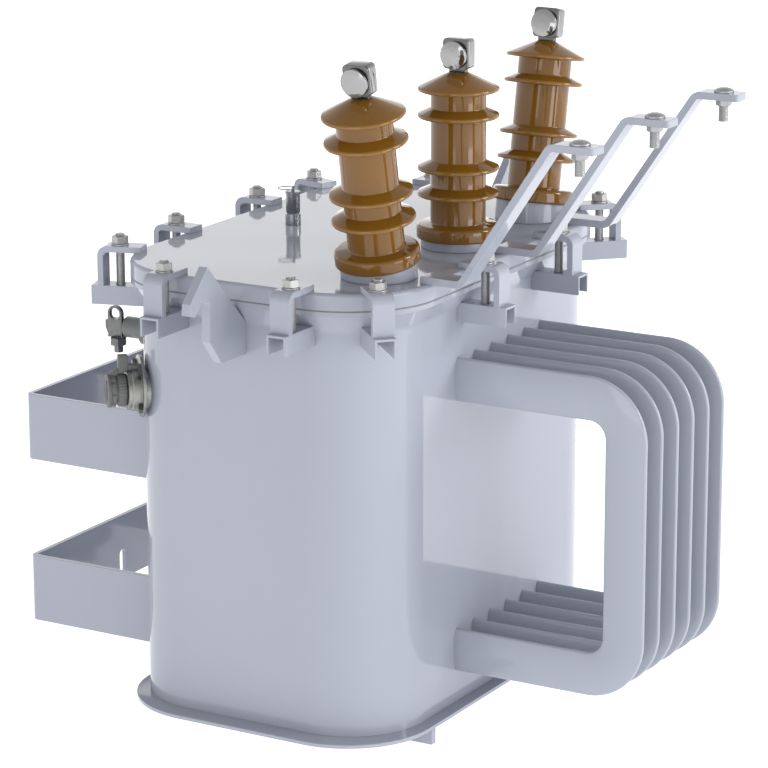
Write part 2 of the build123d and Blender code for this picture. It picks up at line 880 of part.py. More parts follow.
with BuildPart() as arrester_nut_piece:
    with BuildSketch(Plane.XY.offset(pad_bottom)):
        with Locations((0, arrester_bolt_y)):
            RegularPolygon(arrester_nut / 2, 6, major_radius=False)
            Circle(arrester_bolt / 2 + thread_gap, mode=Mode.SUBTRACT)
    extrude(amount=-arrester_nut_height)
with BuildPart() as arrester_nuts:
    with Locations(*arrester_spots):
        add(arrester_nut_piece.part)
save(arrester_nuts, "arrester_nuts")

# Pressure relief valve: body through the cover, cap, pull pin and its ring
body_top = cover_top + valve_body_height
valve_top = body_top + valve_cap_height
pin_bottom = valve_top - valve_pin_depth
with BuildPart() as relief_valve_body:
    with BuildSketch(Plane.XY.offset(cover_top)):
        with Locations((valve_x, valve_y)):
            Circle(valve_diameter / 2)
    extrude(amount=valve_body_height)
    with BuildSketch(Plane.XY.offset(cover_top)):
        with Locations((valve_x, valve_y)):
            Circle(valve_stem / 2)
    extrude(amount=-valve_stem_length)
save(relief_valve_body, "relief_valve_body")

with BuildPart() as relief_valve_cap:
    with BuildSketch(Plane.XY.offset(body_top)):
        with Locations((valve_x, valve_y)):
            Circle(valve_diameter / 2)
    extrude(amount=valve_cap_height)
    fillet(relief_valve_cap.faces().sort_by(Axis.Z)[-1].edges(), valve_cap_edge)
    with BuildSketch(Plane.XY.offset(valve_top)):
        with Locations((valve_x, valve_y)):
            Circle(valve_pin / 2 + bore_gap)
    extrude(amount=-valve_pin_depth - bore_gap, mode=Mode.SUBTRACT)
save(relief_valve_cap, "relief_valve_cap")

ring_turn = radians(valve_ring_angle)
eye_z = valve_top + valve_pin_rise - valve_eye_drop
with BuildPart() as relief_valve_pin:
    with BuildSketch(Plane.XY.offset(pin_bottom)):
        with Locations((valve_x, valve_y)):
            Circle(valve_pin / 2)
    extrude(amount=valve_pin_depth + valve_pin_rise)
    with BuildSketch(Plane((valve_x, valve_y, eye_z), z_dir=(-sin(ring_turn), cos(ring_turn), 0))):
        Circle(valve_eye / 2)
    extrude(amount=valve_pin, both=True, mode=Mode.SUBTRACT)
save(relief_valve_pin, "relief_valve_pin")

with BuildPart() as relief_valve_ring:
    ring_x = valve_x + valve_ring / 2 * cos(ring_turn)
    ring_y = valve_y + valve_ring / 2 * sin(ring_turn)
    with BuildSketch(Plane((ring_x, ring_y, eye_z), x_dir=(1, 0, 0), z_dir=(0, -1, 0))):
        with Locations((valve_ring / 2, 0)):
            Circle(valve_ring_wire / 2)
    revolve(axis=Axis((ring_x, ring_y, eye_z), (0, 0, 1)))
save(relief_valve_ring, "relief_valve_ring")

# Low-voltage bushings: insulators that stand out from the pole-side wall
for number, x in enumerate(lv_places, start=1):
    lv_foot = (x, back_wall, lv_z)
    body_end = lv_flange_thickness + lv_body_length
    shaft_start = body_end + lv_cone_length
    lv_end = shaft_start + lv_shaft_length
    bore = lv_stud / 2 + bore_gap
    with BuildPart() as lv_insulator:
        with BuildSketch(Plane(lv_foot, x_dir=(0, 1, 0), z_dir=(1, 0, 0))):
            with BuildLine():
                Polyline(
                    (-lv_tail_length, bore),
                    (-lv_tail_length, lv_tail_radius),
                    (0, lv_tail_radius),
                    (0, lv_flange_radius),
                    (lv_flange_thickness, lv_flange_radius),
                    (lv_flange_thickness, lv_body_radius),
                    (body_end, lv_body_radius),
                    (shaft_start, lv_shaft_radius),
                    (lv_end, lv_shaft_radius),
                    (lv_end, bore),
                    close=True,
                )
            make_face()
        revolve(axis=Axis(lv_foot, (0, 1, 0)))
    save(lv_insulator, f"lv_insulator_{number}")

# Low-voltage terminals: stud with a slanted saddle, eye bolt beside it and nut below
saddle_start = back_wall + lv_end + lv_saddle_gap
saddle_low = lv_z - lv_saddle_drop
saddle_high = saddle_low + lv_saddle_height
eye_y = saddle_start + lv_eye_width / 2
with BuildPart() as lv_terminals:
    for x in lv_places:
        with BuildSketch(
            Plane(
                (x, back_wall - lv_tail_length - lv_stud_tail, lv_z),
                x_dir=(-1, 0, 0),
                z_dir=(0, 1, 0),
            )
        ):
            Circle(lv_stud / 2)
        extrude(amount=lv_tail_length + lv_stud_tail + lv_end + lv_saddle_gap + lv_saddle_face)
        with BuildSketch(Plane.YZ.offset(x - lv_saddle_face + lv_eye_thickness)):
            with BuildLine():
                Polyline(
                    (saddle_start, saddle_low),
                    (saddle_start + lv_saddle_depth - lv_saddle_slant, saddle_low),
                    (saddle_start + lv_saddle_depth, saddle_high - lv_saddle_face),
                    (saddle_start + lv_saddle_depth, saddle_high),
                    (saddle_start, saddle_high),
                    close=True,
                )
            make_face()
        extrude(amount=lv_saddle_width)
        with BuildSketch(Plane.YZ.offset(x - lv_saddle_face + lv_eye_thickness)):
            with Locations((saddle_start + lv_saddle_depth / 2, lv_z)):
                Rectangle(2 * lv_saddle_depth, 2 * lv_saddle_height)
        extrude(amount=-lv_stud, mode=Mode.SUBTRACT)
save(lv_terminals, "lv_terminals")

with BuildPart() as lv_eye_bolts:
    for x in lv_places:
        eye_face = x - lv_saddle_face + lv_eye_thickness - bore_gap
        with BuildSketch(Plane.YZ.offset(eye_face)):
            with Locations((eye_y, lv_z + lv_eye_rise)):
                Circle(lv_eye_width / 2)
                Rectangle(
                    lv_eye_width,
                    lv_eye_rise + lv_saddle_drop,
                    align=(Align.CENTER, Align.MAX),
                )
                Circle(lv_eye_hole / 2, mode=Mode.SUBTRACT)
        extrude(amount=-lv_eye_thickness)
        with BuildSketch(Plane.XY.offset(saddle_low)):
            with Locations((eye_face - lv_eye_thickness / 2, eye_y)):
                Circle(lv_eye_stud / 2)
        extrude(amount=-lv_eye_stud_length)
save(lv_eye_bolts, "lv_eye_bolts")

with BuildPart() as lv_nuts:
    with BuildSketch(Plane.XY.offset(saddle_low)):
        for x in lv_places:
            eye_face = x - lv_saddle_face + lv_eye_thickness - bore_gap
            with Locations((eye_face - lv_eye_thickness / 2, eye_y)):
                RegularPolygon(m12_across_flats / 2, 6, major_radius=False)
                Circle(lv_eye_stud / 2 + thread_gap, mode=Mode.SUBTRACT)
    extrude(amount=-lv_nut_height)
save(lv_nuts, "lv_nuts")

# Tap changer: seat formed to the corner, housing bolted to it, and a knob on the switch's shaft
tap_flange_face = tap_seat_reach + tap_flange_thickness
tap_housing_end = tap_flange_face + tap_housing_length
with BuildPart() as tap_changer_seat:
    with BuildSketch(tap_plane(tap_seat_reach)):
        Circle(tap_flange_radius)
        Circle(tap_spigot_radius + bore_gap, mode=Mode.SUBTRACT)
        with PolarLocations(tap_bolt_circle, tap_bolt_count, start_angle=tap_bolt_angle):
            Circle(tap_bolt / 2 + thread_gap, mode=Mode.SUBTRACT)
    extrude(amount=-tap_seat_depth)
    with BuildSketch(Plane.XY.offset(tap_z)):
        tank_outline(weld_gap)
    extrude(amount=2 * tap_flange_radius, both=True, mode=Mode.SUBTRACT)
save(tap_changer_seat, "tap_changer_seat")

with BuildPart() as tap_changer_housing:
    with BuildSketch(tap_plane(tap_seat_reach)):
        Circle(tap_flange_radius)
        with PolarLocations(tap_bolt_circle, tap_bolt_count, start_angle=tap_bolt_angle):
            Circle(tap_bolt / 2 + thread_gap, mode=Mode.SUBTRACT)
    extrude(amount=tap_flange_thickness)
    with BuildSketch(tap_plane(tap_flange_face)):
        Circle(tap_housing_radius)
    extrude(amount=tap_housing_length)
    with BuildSketch(tap_plane(tap_seat_reach)):
        Circle(tap_spigot_radius)
    extrude(amount=-tap_spigot_length)
    tap_middle = tap_plane(0)
    hook_plane = Plane(
        tap_middle.origin, x_dir=tap_middle.z_dir, z_dir=-tap_middle.x_dir
    ).offset(-tap_hook_width / 2)
    with BuildSketch(hook_plane):
        with BuildLine():
            hook_low = tap_housing_radius - tap_hook_thickness
            hook_high = tap_housing_radius + tap_hook_rise
            hook_tip = tap_knob_radius + tap_hook_gap
            hook_end = tap_housing_end + tap_hook_reach
            Polyline(
                (tap_housing_end - tap_hook_thickness, hook_low),
                (tap_housing_end - tap_hook_thickness, hook_high),
                (hook_end, hook_high),
                (hook_end, hook_tip),
                (hook_end - tap_hook_thickness, hook_tip),
                (hook_end - tap_hook_thickness, hook_high - tap_hook_thickness),
                (tap_housing_end, hook_high - tap_hook_thickness),
                (tap_housing_end, hook_low),
                close=True,
            )
        make_face()
    extrude(amount=tap_hook_width)
    with BuildSketch(tap_plane(tap_housing_end)):
        Circle(tap_shaft / 2 + bore_gap)
    extrude(amount=-tap_housing_end - tap_spigot_length, mode=Mode.SUBTRACT)
save(tap_changer_housing, "tap_changer_housing")

with BuildPart() as tap_changer_bolts:
    with BuildSketch(tap_plane(tap_flange_face)):
        with PolarLocations(tap_bolt_circle, tap_bolt_count, start_angle=tap_bolt_angle):
            Rectangle(tap_bolt_head, tap_bolt_head)
    extrude(amount=tap_bolt_head_height)
    with BuildSketch(tap_plane(tap_flange_face)):
        with PolarLocations(tap_bolt_circle, tap_bolt_count, start_angle=tap_bolt_angle):
            Circle(tap_bolt / 2)
    extrude(amount=-tap_bolt_depth)
save(tap_changer_bolts, "tap_changer_bolts")

with BuildPart() as tap_changer_knob:
    with BuildSketch(tap_plane(tap_housing_end + tap_knob_gap)):
        Circle(tap_knob_radius)
        with PolarLocations(tap_knob_radius + tap_groove_radius / 2, tap_groove_count):
            Circle(tap_groove_radius, mode=Mode.SUBTRACT)
    extrude(amount=tap_knob_length)
    with BuildSketch(tap_plane(-tap_switch_depth)):
        Circle(tap_shaft / 2)
    extrude(amount=tap_housing_end + tap_knob_gap + tap_switch_depth)
save(tap_changer_knob, "tap_changer_knob")

with BuildPart() as tap_switch:
    with BuildSketch(tap_plane(-tap_switch_depth)):
        Circle(tap_switch_radius)
        Circle(tap_shaft / 2 + bore_gap, mode=Mode.SUBTRACT)
    extrude(amount=tap_switch_length)
save(tap_switch, "tap_switch")

# Core: stepped packets of laminations with three limbs and two windows
core_height = core_window + 2 * core_limb
window_width = core_pitch - core_limb


def core_packet(trim):
    """Front view of a packet of laminations, narrowed by a trim on every side."""
    with Locations((0, core_z + core_height / 2)):
        Rectangle(2 * core_pitch + core_limb - 2 * trim, core_height - 2 * trim)
    with Locations(*[(side * core_pitch / 2, core_z + core_height / 2) for side in (-1, 1)]):
        Rectangle(window_width + 2 * trim, core_window + 2 * trim, mode=Mode.SUBTRACT)


with BuildPart() as core:
    with BuildSketch(Plane.XZ):
        core_packet(0)
    extrude(amount=core_stack / 2 - core_step, both=True)
    with BuildSketch(Plane.XZ):
        core_packet(core_step)
    extrude(amount=core_stack / 2, both=True)
save(core, "core")

# Windings round each limb, between the yokes
limb_places = [core_pitch * side for side in (-1, 0, 1)]
for name, inner, outer in (
    ("lv_windings", lv_winding_inner, lv_winding_outer),
    ("hv_windings", hv_winding_inner, hv_winding_outer),
):
    with BuildPart() as windings:
        with BuildSketch(Plane.XY.offset(core_z + core_limb + winding_gap)):
            with Locations(*[(x, 0) for x in limb_places]):
                Circle(outer)
                Circle(inner, mode=Mode.SUBTRACT)
        extrude(amount=core_window - 2 * winding_gap)
    save(windings, name)

# Channels that clamp the yokes, the lower pair standing on the bottom plate, and their tie bolts
clamp_high_z = core_z + core_height - core_clamp_high_height - core_clamp_high_drop
clamp_levels = (
    (tank_bottom, core_clamp_low_height),
    (clamp_high_z, core_clamp_high_height),
)
tie_levels = [level + height / 2 for level, height in clamp_levels]
tie_places = [(x, z) for x in (-tie_bolt_x, tie_bolt_x) for z in tie_levels]
with BuildPart() as core_clamps:
    for side in (-1, 1):
        for level, height in clamp_levels:
            web = side * core_stack / 2
            lip = side * (core_stack / 2 + core_clamp_flange)
            back = side * (core_stack / 2 + core_clamp_plate)
            with BuildSketch(Plane.YZ.offset(-core_clamp_length / 2)):
                with BuildLine():
                    Polyline(
                        (web, level),
                        (lip, level),
                        (lip, level + core_clamp_plate),
                        (back, level + core_clamp_plate),
                        (back, level + height - core_clamp_plate),
                        (lip, level + height - core_clamp_plate),
                        (lip, level + height),
                        (web, level + height),
                        close=True,
                    )
                make_face()
            extrude(amount=core_clamp_length)
    with BuildSketch(Plane.XZ):
        with Locations(*tie_places):
            Circle(tie_bolt / 2 + bore_gap)
    extrude(amount=core_stack, both=True, mode=Mode.SUBTRACT)
save(core_clamps, "core_clamps")

with BuildPart() as core_tie_bolts:
    with BuildSketch(Plane.XZ):
        with Locations(*tie_places):
            Circle(tie_bolt / 2)
    extrude(amount=core_stack / 2 + core_clamp_plate + tie_bolt, both=True)
save(core_tie_bolts, "core_tie_bolts")


def lead_y(x):
    """Distance from the core's middle plane to a lead that passes a winding and a clamp at this X."""
    nearest = min(limb_places, key=lambda limb: abs(limb - x))
    reach = hv_winding_outer + lead_radius + winding_gap
    beside_clamp = core_stack / 2 + core_clamp_flange + lead_radius + winding_gap
    return max(sqrt(reach**2 - (nearest - x) ** 2), beside_clamp)


# Leads from the bushings' inner ends down to the windings
with BuildPart() as hv_leads:
    for foot in hv_planes:
        top = foot.origin - foot.z_dir * (tail_length + hv_stud_tail)
        with BuildLine(Plane.YZ.offset(top.X)) as lead_path:
            FilletPolyline(
                (top.Y, top.Z - lead_gap),
                (top.Y, hv_lead_high),
                (-lead_y(top.X), hv_lead_low),
                (-lead_y(top.X), lead_end),
                radius=lead_bend,
            )
        with BuildSketch(Plane(lead_path.line @ 0, z_dir=lead_path.line % 0)):
            Circle(lead_radius)
        sweep(path=lead_path.line)
save(hv_leads, "hv_leads")

with BuildPart() as lv_leads:
    for x in lv_places:
        lead_start = back_wall - lv_tail_length - lv_stud_tail - weld_gap
        with BuildLine(Plane.YZ.offset(x)) as lead_path:
            FilletPolyline(
                (lead_start, lv_z),
                (lead_y(x), lv_z),
                (lead_y(x), lead_end),
                radius=lead_bend,
            )
        with BuildSketch(Plane(lead_path.line @ 0, z_dir=lead_path.line % 0)):
            Circle(lead_radius)
        sweep(path=lead_path.line)
save(lv_leads, "lv_leads")
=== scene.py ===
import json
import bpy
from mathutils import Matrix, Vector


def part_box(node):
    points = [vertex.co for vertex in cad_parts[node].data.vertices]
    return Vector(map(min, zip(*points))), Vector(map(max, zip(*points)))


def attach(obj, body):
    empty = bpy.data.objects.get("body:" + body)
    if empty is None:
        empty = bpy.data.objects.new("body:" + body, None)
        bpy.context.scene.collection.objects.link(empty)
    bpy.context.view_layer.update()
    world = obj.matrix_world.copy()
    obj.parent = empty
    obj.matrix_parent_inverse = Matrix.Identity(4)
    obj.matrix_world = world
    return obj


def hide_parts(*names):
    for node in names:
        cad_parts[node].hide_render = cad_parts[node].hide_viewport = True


bl_info = {
    "name": "Distribution transformer",
    "version": (1, 0, 0),
    "blender": (4, 5, 0),
    "location": "3D View > Sidebar > Transformer",
    "description": "Finishes a pole-mounted distribution transformer: enamel, porcelain, fasteners",
    "category": "Object",
}

from math import atan2, ceil, cos, degrees, pi, radians, sin, tan

import bmesh
import bpy
from bpy.props import FloatProperty, FloatVectorProperty, IntProperty, PointerProperty
from mathutils import Matrix, Vector

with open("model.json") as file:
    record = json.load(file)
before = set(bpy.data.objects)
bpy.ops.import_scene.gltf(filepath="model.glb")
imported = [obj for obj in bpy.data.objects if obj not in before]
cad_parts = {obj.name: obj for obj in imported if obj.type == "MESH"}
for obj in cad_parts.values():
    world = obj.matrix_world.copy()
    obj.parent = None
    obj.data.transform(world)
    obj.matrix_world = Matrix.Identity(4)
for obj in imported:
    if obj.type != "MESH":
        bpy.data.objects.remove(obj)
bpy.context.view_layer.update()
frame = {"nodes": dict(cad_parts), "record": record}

# Meshes are made in millimetres and scaled to metres when they become pieces
MM = 0.001

# Points of a mesh nearer than this, in metres, become one
WELD = 1e-6

# Edges that turn by more than this stay sharp in a form, and are rounded on plate work
SHARP = radians(35)

# Radius of the small flat that closes a turned solid at its axis
TIP = 0.4

# Middles of the tank's rounded corners, which set how the fasteners round the rim are turned
CORNER_X = 199
CORNER_Y = 92
TANK_CORNER = 106

# Plate work: share of the edge rounding that each node gets
EDGE_SHARES = {
    "cover_clamps": 1.0,
    "clamp_channels": 0.6,
    "pole_bracket_lower": 0.7,
    "pole_bracket_upper": 0.7,
    "lifting_lug_left": 0.6,
    "lifting_lug_right": 0.6,
    "foot_rail_left": 0.9,
    "foot_rail_right": 0.9,
    "bottom_plate": 0.9,
    "arrester_bracket_1": 0.8,
    "arrester_bracket_2": 0.8,
    "arrester_bracket_3": 0.8,
    "hv_seat_1": 1.4,
    "hv_seat_2": 1.4,
    "hv_seat_3": 1.4,
}

# The pole brackets' plate is this much thicker on each face, in metres
BRACKET_GROWTH = 0.0012

# High-voltage bushings: pitch, distance in front of the middle, height of the middle foot
HV_PITCH = 205
HV_Y = -136.5
HV_FOOT = 614
HV_LEAN = 10.3
SEAT_RADIUS = 48
SEAT_HEIGHT = 12

# Insulator, with heights measured along it from its foot
TAIL_LENGTH = 70
TAIL_RADIUS = 22
STEM_RADIUS = 28
COLLAR_RADIUS = 53.5
COLLAR_HEIGHT = 18
NECK_RADIUS = 35.6
SHED_RADIUS = 52.5
SHED_HEIGHTS = (54.7, 88.3, 156.3)
SHED_EDGE = 3.2
SHED_RISE = 12.5
SHED_ROOT = 1.2
CAP_HEIGHT = 190.6
CAP_TOP = 214.1
CAP_TOP_RADIUS = 13
STUD_BORE = 6.8

# The glaze runs thin from this radius outward, over this width
THIN_RADIUS = 49.5
THIN_WIDTH = 3

# Conductor clamp on the bushing: block, pressure plate and round-headed bolt
STUD_RADIUS = 6.5
STUD_END = -80
BLOCK_MIDDLE = 238.35
BLOCK_WIDTH = 36
BLOCK_HEIGHT = 39.5
BLOCK_FACE = -5.4
BLOCK_THICKNESS = 16
BLOCK_CORNER = 6
PLATE_THICKNESS = 4
HEAD_DROP = 1.3

# Profiles give the corners of a turned piece as (radius, height, rounding)
ROUND_HEAD = (
    (TIP, -12, 0), (5, -12, 0.8), (5, 2.4, 0.5), (18.3, 2.4, 0.5), (18.3, 6.6, 0.6),
    (17.2, 6.9, 0.3), (12, 8.2, 14), (TIP, 9.4, 0),
)

# Fasteners
M12_FLATS = 19
M12_RADIUS = 5.9
M12_PITCH = 1.75
M12_HEAD = 7.5
HEAD_BORE = 1.5
THREAD_DEPTH = 0.35
LEVELS_PER_TURN = 5
CHAMFER = 0.7
WASHER_BORE = 6.6
ARM_BOLT_RADIUS = 6.7
ARM_BOLT_PITCH = 2.0
ARM_BOLT_HEAD = 6.5
ARM_NUT_FLATS = 18

# Relief valve
VALVE_RADIUS = 10.2
VALVE_STEM = 6
VALVE_GROOVE = 8.4
VALVE_BORE = 2.9
VALVE_RIBS = 30
RIB_DEPTH = 0.05
RING_WIRE = 0.8
PIN_BEND = 9
PIN = ((0.3, -17, 0), (2.2, -17, 0.5), (2.2, 0, 0), (0.3, 0, 0))
PIN_EYE = ((0.3, -0.5, 0), (1.7, -0.5, 0), (1.7, 4.2, 0.3), (2.2, 4.8, 0.5), (2.2, 6.0, 0.9),
           (0.3, 6.0, 0))

# Low-voltage bushings stand out from the pole-side wall
LV_LENGTH = 56
LV_BORE = 8.4
LV_TAIL_RADIUS = 15
LV_OUTSIDE = (
    (LV_TAIL_RADIUS, 0, 0), (28, 0, 0.6), (28, 8, 2.2), (21, 8, 1.5), (21, 26, 1.5),
    (14, 32, 1.5), (14, LV_LENGTH, 1.2), (LV_BORE, LV_LENGTH, 0),
)

# Eye bolts: radius round the nut's axis that shifts with it, and the shift itself
EYE_STUD_REACH = 6.8
EYE_SHIFT = (3.2, -1.5)
EYE_RISE = 3

# Tap changer, turned from the pole side towards the end of the tank
TAP_TURN = 43
TAP_Z = 434
TAP_BOLT_RISE = 4
FLANGE_RADIUS = 40.5
FLANGE_RISE = 4
TAP_NECK = ((13, -7, 0), (27, -7, 0), (27, 4.2, 0.6), (13, 4.2, 0))
TAP_HOUSING = (
    (6.4, -8, 0), (18, -8, 0.5), (18, 7, 0), (28, 7, 0), (28, 18.6, 0.8), (26.5, 20, 0.8),
    (6.4, 20, 0),
)
TAP_COLLAR = ((6.6, 19.5, 0), (26.5, 19.5, 0), (26.5, 24.6, 0.8), (23.5, 25.4, 0.4), (6.6, 25.4, 0))
KNOB_FACE = ((TIP, 46, 0), (22, 46, 0.6), (22, 49.6, 1.2), (17.5, 50.6, 0.5), (15, 49.4, 0.5),
             (TIP, 49.4, 0))

# Bars of the guard over the knob as (nearest and farthest reach, lowest and highest, width)
GUARD_BARS = (
    ((4.5, 17.5), (26, 32.4), 12),
    ((12, 25), (25.2, 33.4), 9),
    ((22.6, 35), (23.4, 46), 10.5),
)

# Levels of the knob as (radius, height, depth of the wide grooves, depth of the fine ribs)
KNOB_STEPS = 192
KNOB_GROOVES = 8
GROOVE_DEPTH = 1.9
KNOB_RIBS = 32
KNOB_LEVELS = (
    (TIP, -56, 0, 0), (6, -56, 0, 0), (6, 26, 0, 0), (20.3, 26, 0, 0.2), (21, 26.7, 0, 0.7),
    (21, 36.4, 0, 0.7), (20.3, 37, 0, 0.2), (18.6, 37.3, 0, 0), (18.6, 39.2, 0, 0),
    (20.6, 39.5, 0.6, 0), (21.2, 40.2, 1, 0), (21.2, 45.8, 1, 0), (19.5, 46.2, 0.5, 0),
    (TIP, 46.2, 0, 0),
)

# Stands a plate that was drawn flat on its edge, so that its X points up and out
ON_EDGE = Matrix(((0, 0, -1, 0), (0, 1, 0, 0), (1, 0, 0, 0), (0, 0, 0, 1)))

# Stage, in metres: what the camera looks at, the floor, and the brightness of floor and sky
CAMERA_TARGET = (0.02431, -0.01076, 0.38656)
CAMERA_SHIFT = (0.0009, 0.0077)
SENSOR = 36
FLOOR_HALF = 30
FLOOR_GLOW = 0.72
SKY_HORIZON = 1.16
SKY_ZENITH = 0.38

# Lights as (name, place, point aimed at, size in metres, power in watts)
LIGHTS = (
    ("front_light", (1.8, -4.4, 2.2), (0, -0.1, 0.4), 1.6, 85),
    ("low_front_light", (-0.3, -4.6, 0.35), (0, 0, 0.4), 2.4, 66),
    ("left_light", (-4.6, -0.4, 0.7), (0, 0, 0.35), 2.4, 27),
    ("far_panel", (4.2, 2.4, 1.7), (0, 0, 0.5), 3.0, 16),
)


def colour(name, description, default):
    """Property for a linear colour."""
    return FloatVectorProperty(
        name=name, description=description, default=default, subtype="COLOR", size=3, min=0, max=1
    )


def length(name, description, default):
    """Property for a length in metres."""
    return FloatProperty(
        name=name, description=description, default=default, subtype="DISTANCE", unit="LENGTH"
    )


def bearing(name, description, default):
    """Property for an angle, its default in degrees."""
    return FloatProperty(
        name=name, description=description, default=radians(default), subtype="ANGLE"
    )


class TransformerColours(bpy.types.PropertyGroup):
    """Colours of the finishes."""

    enamel: colour("Enamel", "Paint on the tank, cover, tubes and brackets", (0.345, 0.366, 0.428))
    glaze: colour("Glaze", "Porcelain glaze where it lies thick", (0.175, 0.077, 0.0075))
    glaze_rim: colour("Glaze at rims", "Porcelain glaze where it runs thin", (0.235, 0.113, 0.018))
    zinc: colour("Zinc plate", "Nuts of the cover clamps", (0.44, 0.44, 0.425))
    bolt: colour("Bolt steel", "Bolts, washers, arm nuts and the valve's ring", (0.40, 0.405, 0.41))
    tin: colour("Tin plate", "High-voltage terminals", (0.35, 0.35, 0.35))
    iron: colour("Dark iron", "Low-voltage clamps, studs and plates", (0.165, 0.17, 0.168))
    brass: colour("Plated brass", "Relief valve", (0.25, 0.255, 0.275))
    resin: colour("Cast resin", "Low-voltage bushings", (0.15, 0.155, 0.155))
    casting: colour("Die casting", "Tap changer housing", (0.30, 0.305, 0.29))
    knob: colour("Knob", "Tap changer knob and guard", (0.115, 0.118, 0.116))


class TransformerDetails(bpy.types.PropertyGroup):
    """Sizes of the details that the finishing adds."""

    edge: length("Edge rounding", "Radius left on cut plate edges by grinding and paint", 0.0008)
    peel: length("Orange peel", "Height of the ripple in the enamel", 0.000003)
    turns: IntProperty(name="Turning steps", description="Faces round a turned piece", default=96)


class TransformerView(bpy.types.PropertyGroup):
    """Camera of the photograph."""

    azimuth: bearing("Azimuth", "Direction of the camera round the object", -59.86)
    elevation: bearing("Elevation", "Height of the camera above the horizon", 15.09)
    roll: bearing("Roll", "Tilt of the frame", -0.12)
    distance: length("Distance", "From the camera to its target", 4.6049)
    focal: FloatProperty(
        name="Focal length", description="Lens on a 36 mm wide sensor", default=162.44
    )


# Finishes


class Finish:
    """Procedural material on a principled shader, in object coordinates.

    A noise is given as (scale, detail, roughness, stretch), of which the last may be left out.
    """

    def __init__(self, base, roughness, metallic=0.0, coat=0.0, coat_roughness=0.1, ior=1.5):
        self.base = tuple(base)
        self.material = bpy.data.materials.new("finish")
        self.material.use_nodes = True
        self.material.diffuse_color = (*self.base, 1)
        self.tree = self.material.node_tree
        self.shader = self.tree.nodes["Principled BSDF"]
        self.shader.inputs["Base Color"].default_value = (*self.base, 1)
        self.shader.inputs["Roughness"].default_value = roughness
        self.shader.inputs["Metallic"].default_value = metallic
        self.shader.inputs["Coat Weight"].default_value = coat
        self.shader.inputs["Coat Roughness"].default_value = coat_roughness
        self.shader.inputs["IOR"].default_value = ior
        self.colour = None
        self.normal = None
        self.coords = self.tree.nodes.new("ShaderNodeTexCoord").outputs["Object"]

    def link(self, out, into):
        self.tree.links.new(out, into)

    def shade(self, *shares):
        """The base colour times one share, or times one each for red, green and blue."""
        return tuple(c * share for c, share in zip(self.base, shares * 3))

    def noise(self, scale, detail=3.0, roughness=0.5, stretch=(1, 1, 1)):
        """Noise over the object, with its features stretched along an axis."""
        place = self.tree.nodes.new("ShaderNodeMapping")
        place.inputs["Scale"].default_value = stretch
        texture = self.tree.nodes.new("ShaderNodeTexNoise")
        texture.inputs["Scale"].default_value = scale
        texture.inputs["Detail"].default_value = detail
        texture.inputs["Roughness"].default_value = roughness
        self.link(self.coords, place.inputs["Vector"])
        self.link(place.outputs["Vector"], texture.inputs["Vector"])
        return texture.outputs["Fac"]

    def cells(self, scale):
        """Distance to the nearest middle of a cell, as in crystals or spangle."""
        texture = self.tree.nodes.new("ShaderNodeTexVoronoi")
        texture.inputs["Scale"].default_value = scale
        self.link(self.coords, texture.inputs["Vector"])
        return texture.outputs["Distance"]

    def bands(self, direction, scale, distortion):
        """Wavy bands across a direction, as in stacked or wound layers."""
        texture = self.tree.nodes.new("ShaderNodeTexWave")
        texture.bands_direction = direction
        texture.inputs["Scale"].default_value = scale
        texture.inputs["Distortion"].default_value = distortion
        self.link(self.coords, texture.inputs["Vector"])
        return texture

    def span(self, value, low, high, to_low, to_high):
        """A value mapped from one range to another and held there."""
        node = self.tree.nodes.new("ShaderNodeMapRange")
        numbers = (low, high, to_low, to_high)
        for socket, number in zip(("From Min", "From Max", "To Min", "To Max"), numbers):
            node.inputs[socket].default_value = number
        self.link(value, node.inputs["Value"])
        return node.outputs["Result"]

    def tint(self, factor, other, amount):
        """Mixes an amount of another colour over the base where the factor is high."""
        mix = self.tree.nodes.new("ShaderNodeMix")
        mix.data_type = "RGBA"
        self.link(self.span(factor, 0, 1, 0, amount), mix.inputs[0])
        if self.colour is None:
            mix.inputs[6].default_value = self.shader.inputs["Base Color"].default_value
        else:
            self.link(self.colour, mix.inputs[6])
        mix.inputs[7].default_value = (*other, 1)
        self.colour = mix.outputs[2]
        self.link(self.colour, self.shader.inputs["Base Color"])

    def mottle(self, other, amount, noise, levels=(0.42, 0.72)):
        """Mixes in another colour where noise rises from the lower level to the upper."""
        self.tint(self.span(self.noise(*noise), *levels, 0, 1), other, amount)

    def vary_roughness(self, low, high, noise):
        """Roughness between two values by noise."""
        factor = self.span(self.noise(*noise), 0.3, 0.7, low, high)
        self.link(factor, self.shader.inputs["Roughness"])

    def round_edges(self, radius):
        """Softens the look of sharp edges."""
        bevel = self.tree.nodes.new("ShaderNodeBevel")
        bevel.samples = 4
        bevel.inputs["Radius"].default_value = radius
        self.normal = bevel.outputs["Normal"]
        self.link(self.normal, self.shader.inputs["Normal"])

    def bump(self, height, distance, strength):
        """Raises the surface by a height, in metres."""
        node = self.tree.nodes.new("ShaderNodeBump")
        node.inputs["Strength"].default_value = strength
        node.inputs["Distance"].default_value = distance
        self.link(height, node.inputs["Height"])
        if self.normal is not None:
            self.link(self.normal, node.inputs["Normal"])
        self.normal = node.outputs["Normal"]
        self.link(self.normal, self.shader.inputs["Normal"])

    def grain(self, distance, strength, noise):
        """Raises the surface by noise."""
        self.bump(self.noise(*noise), distance, strength)


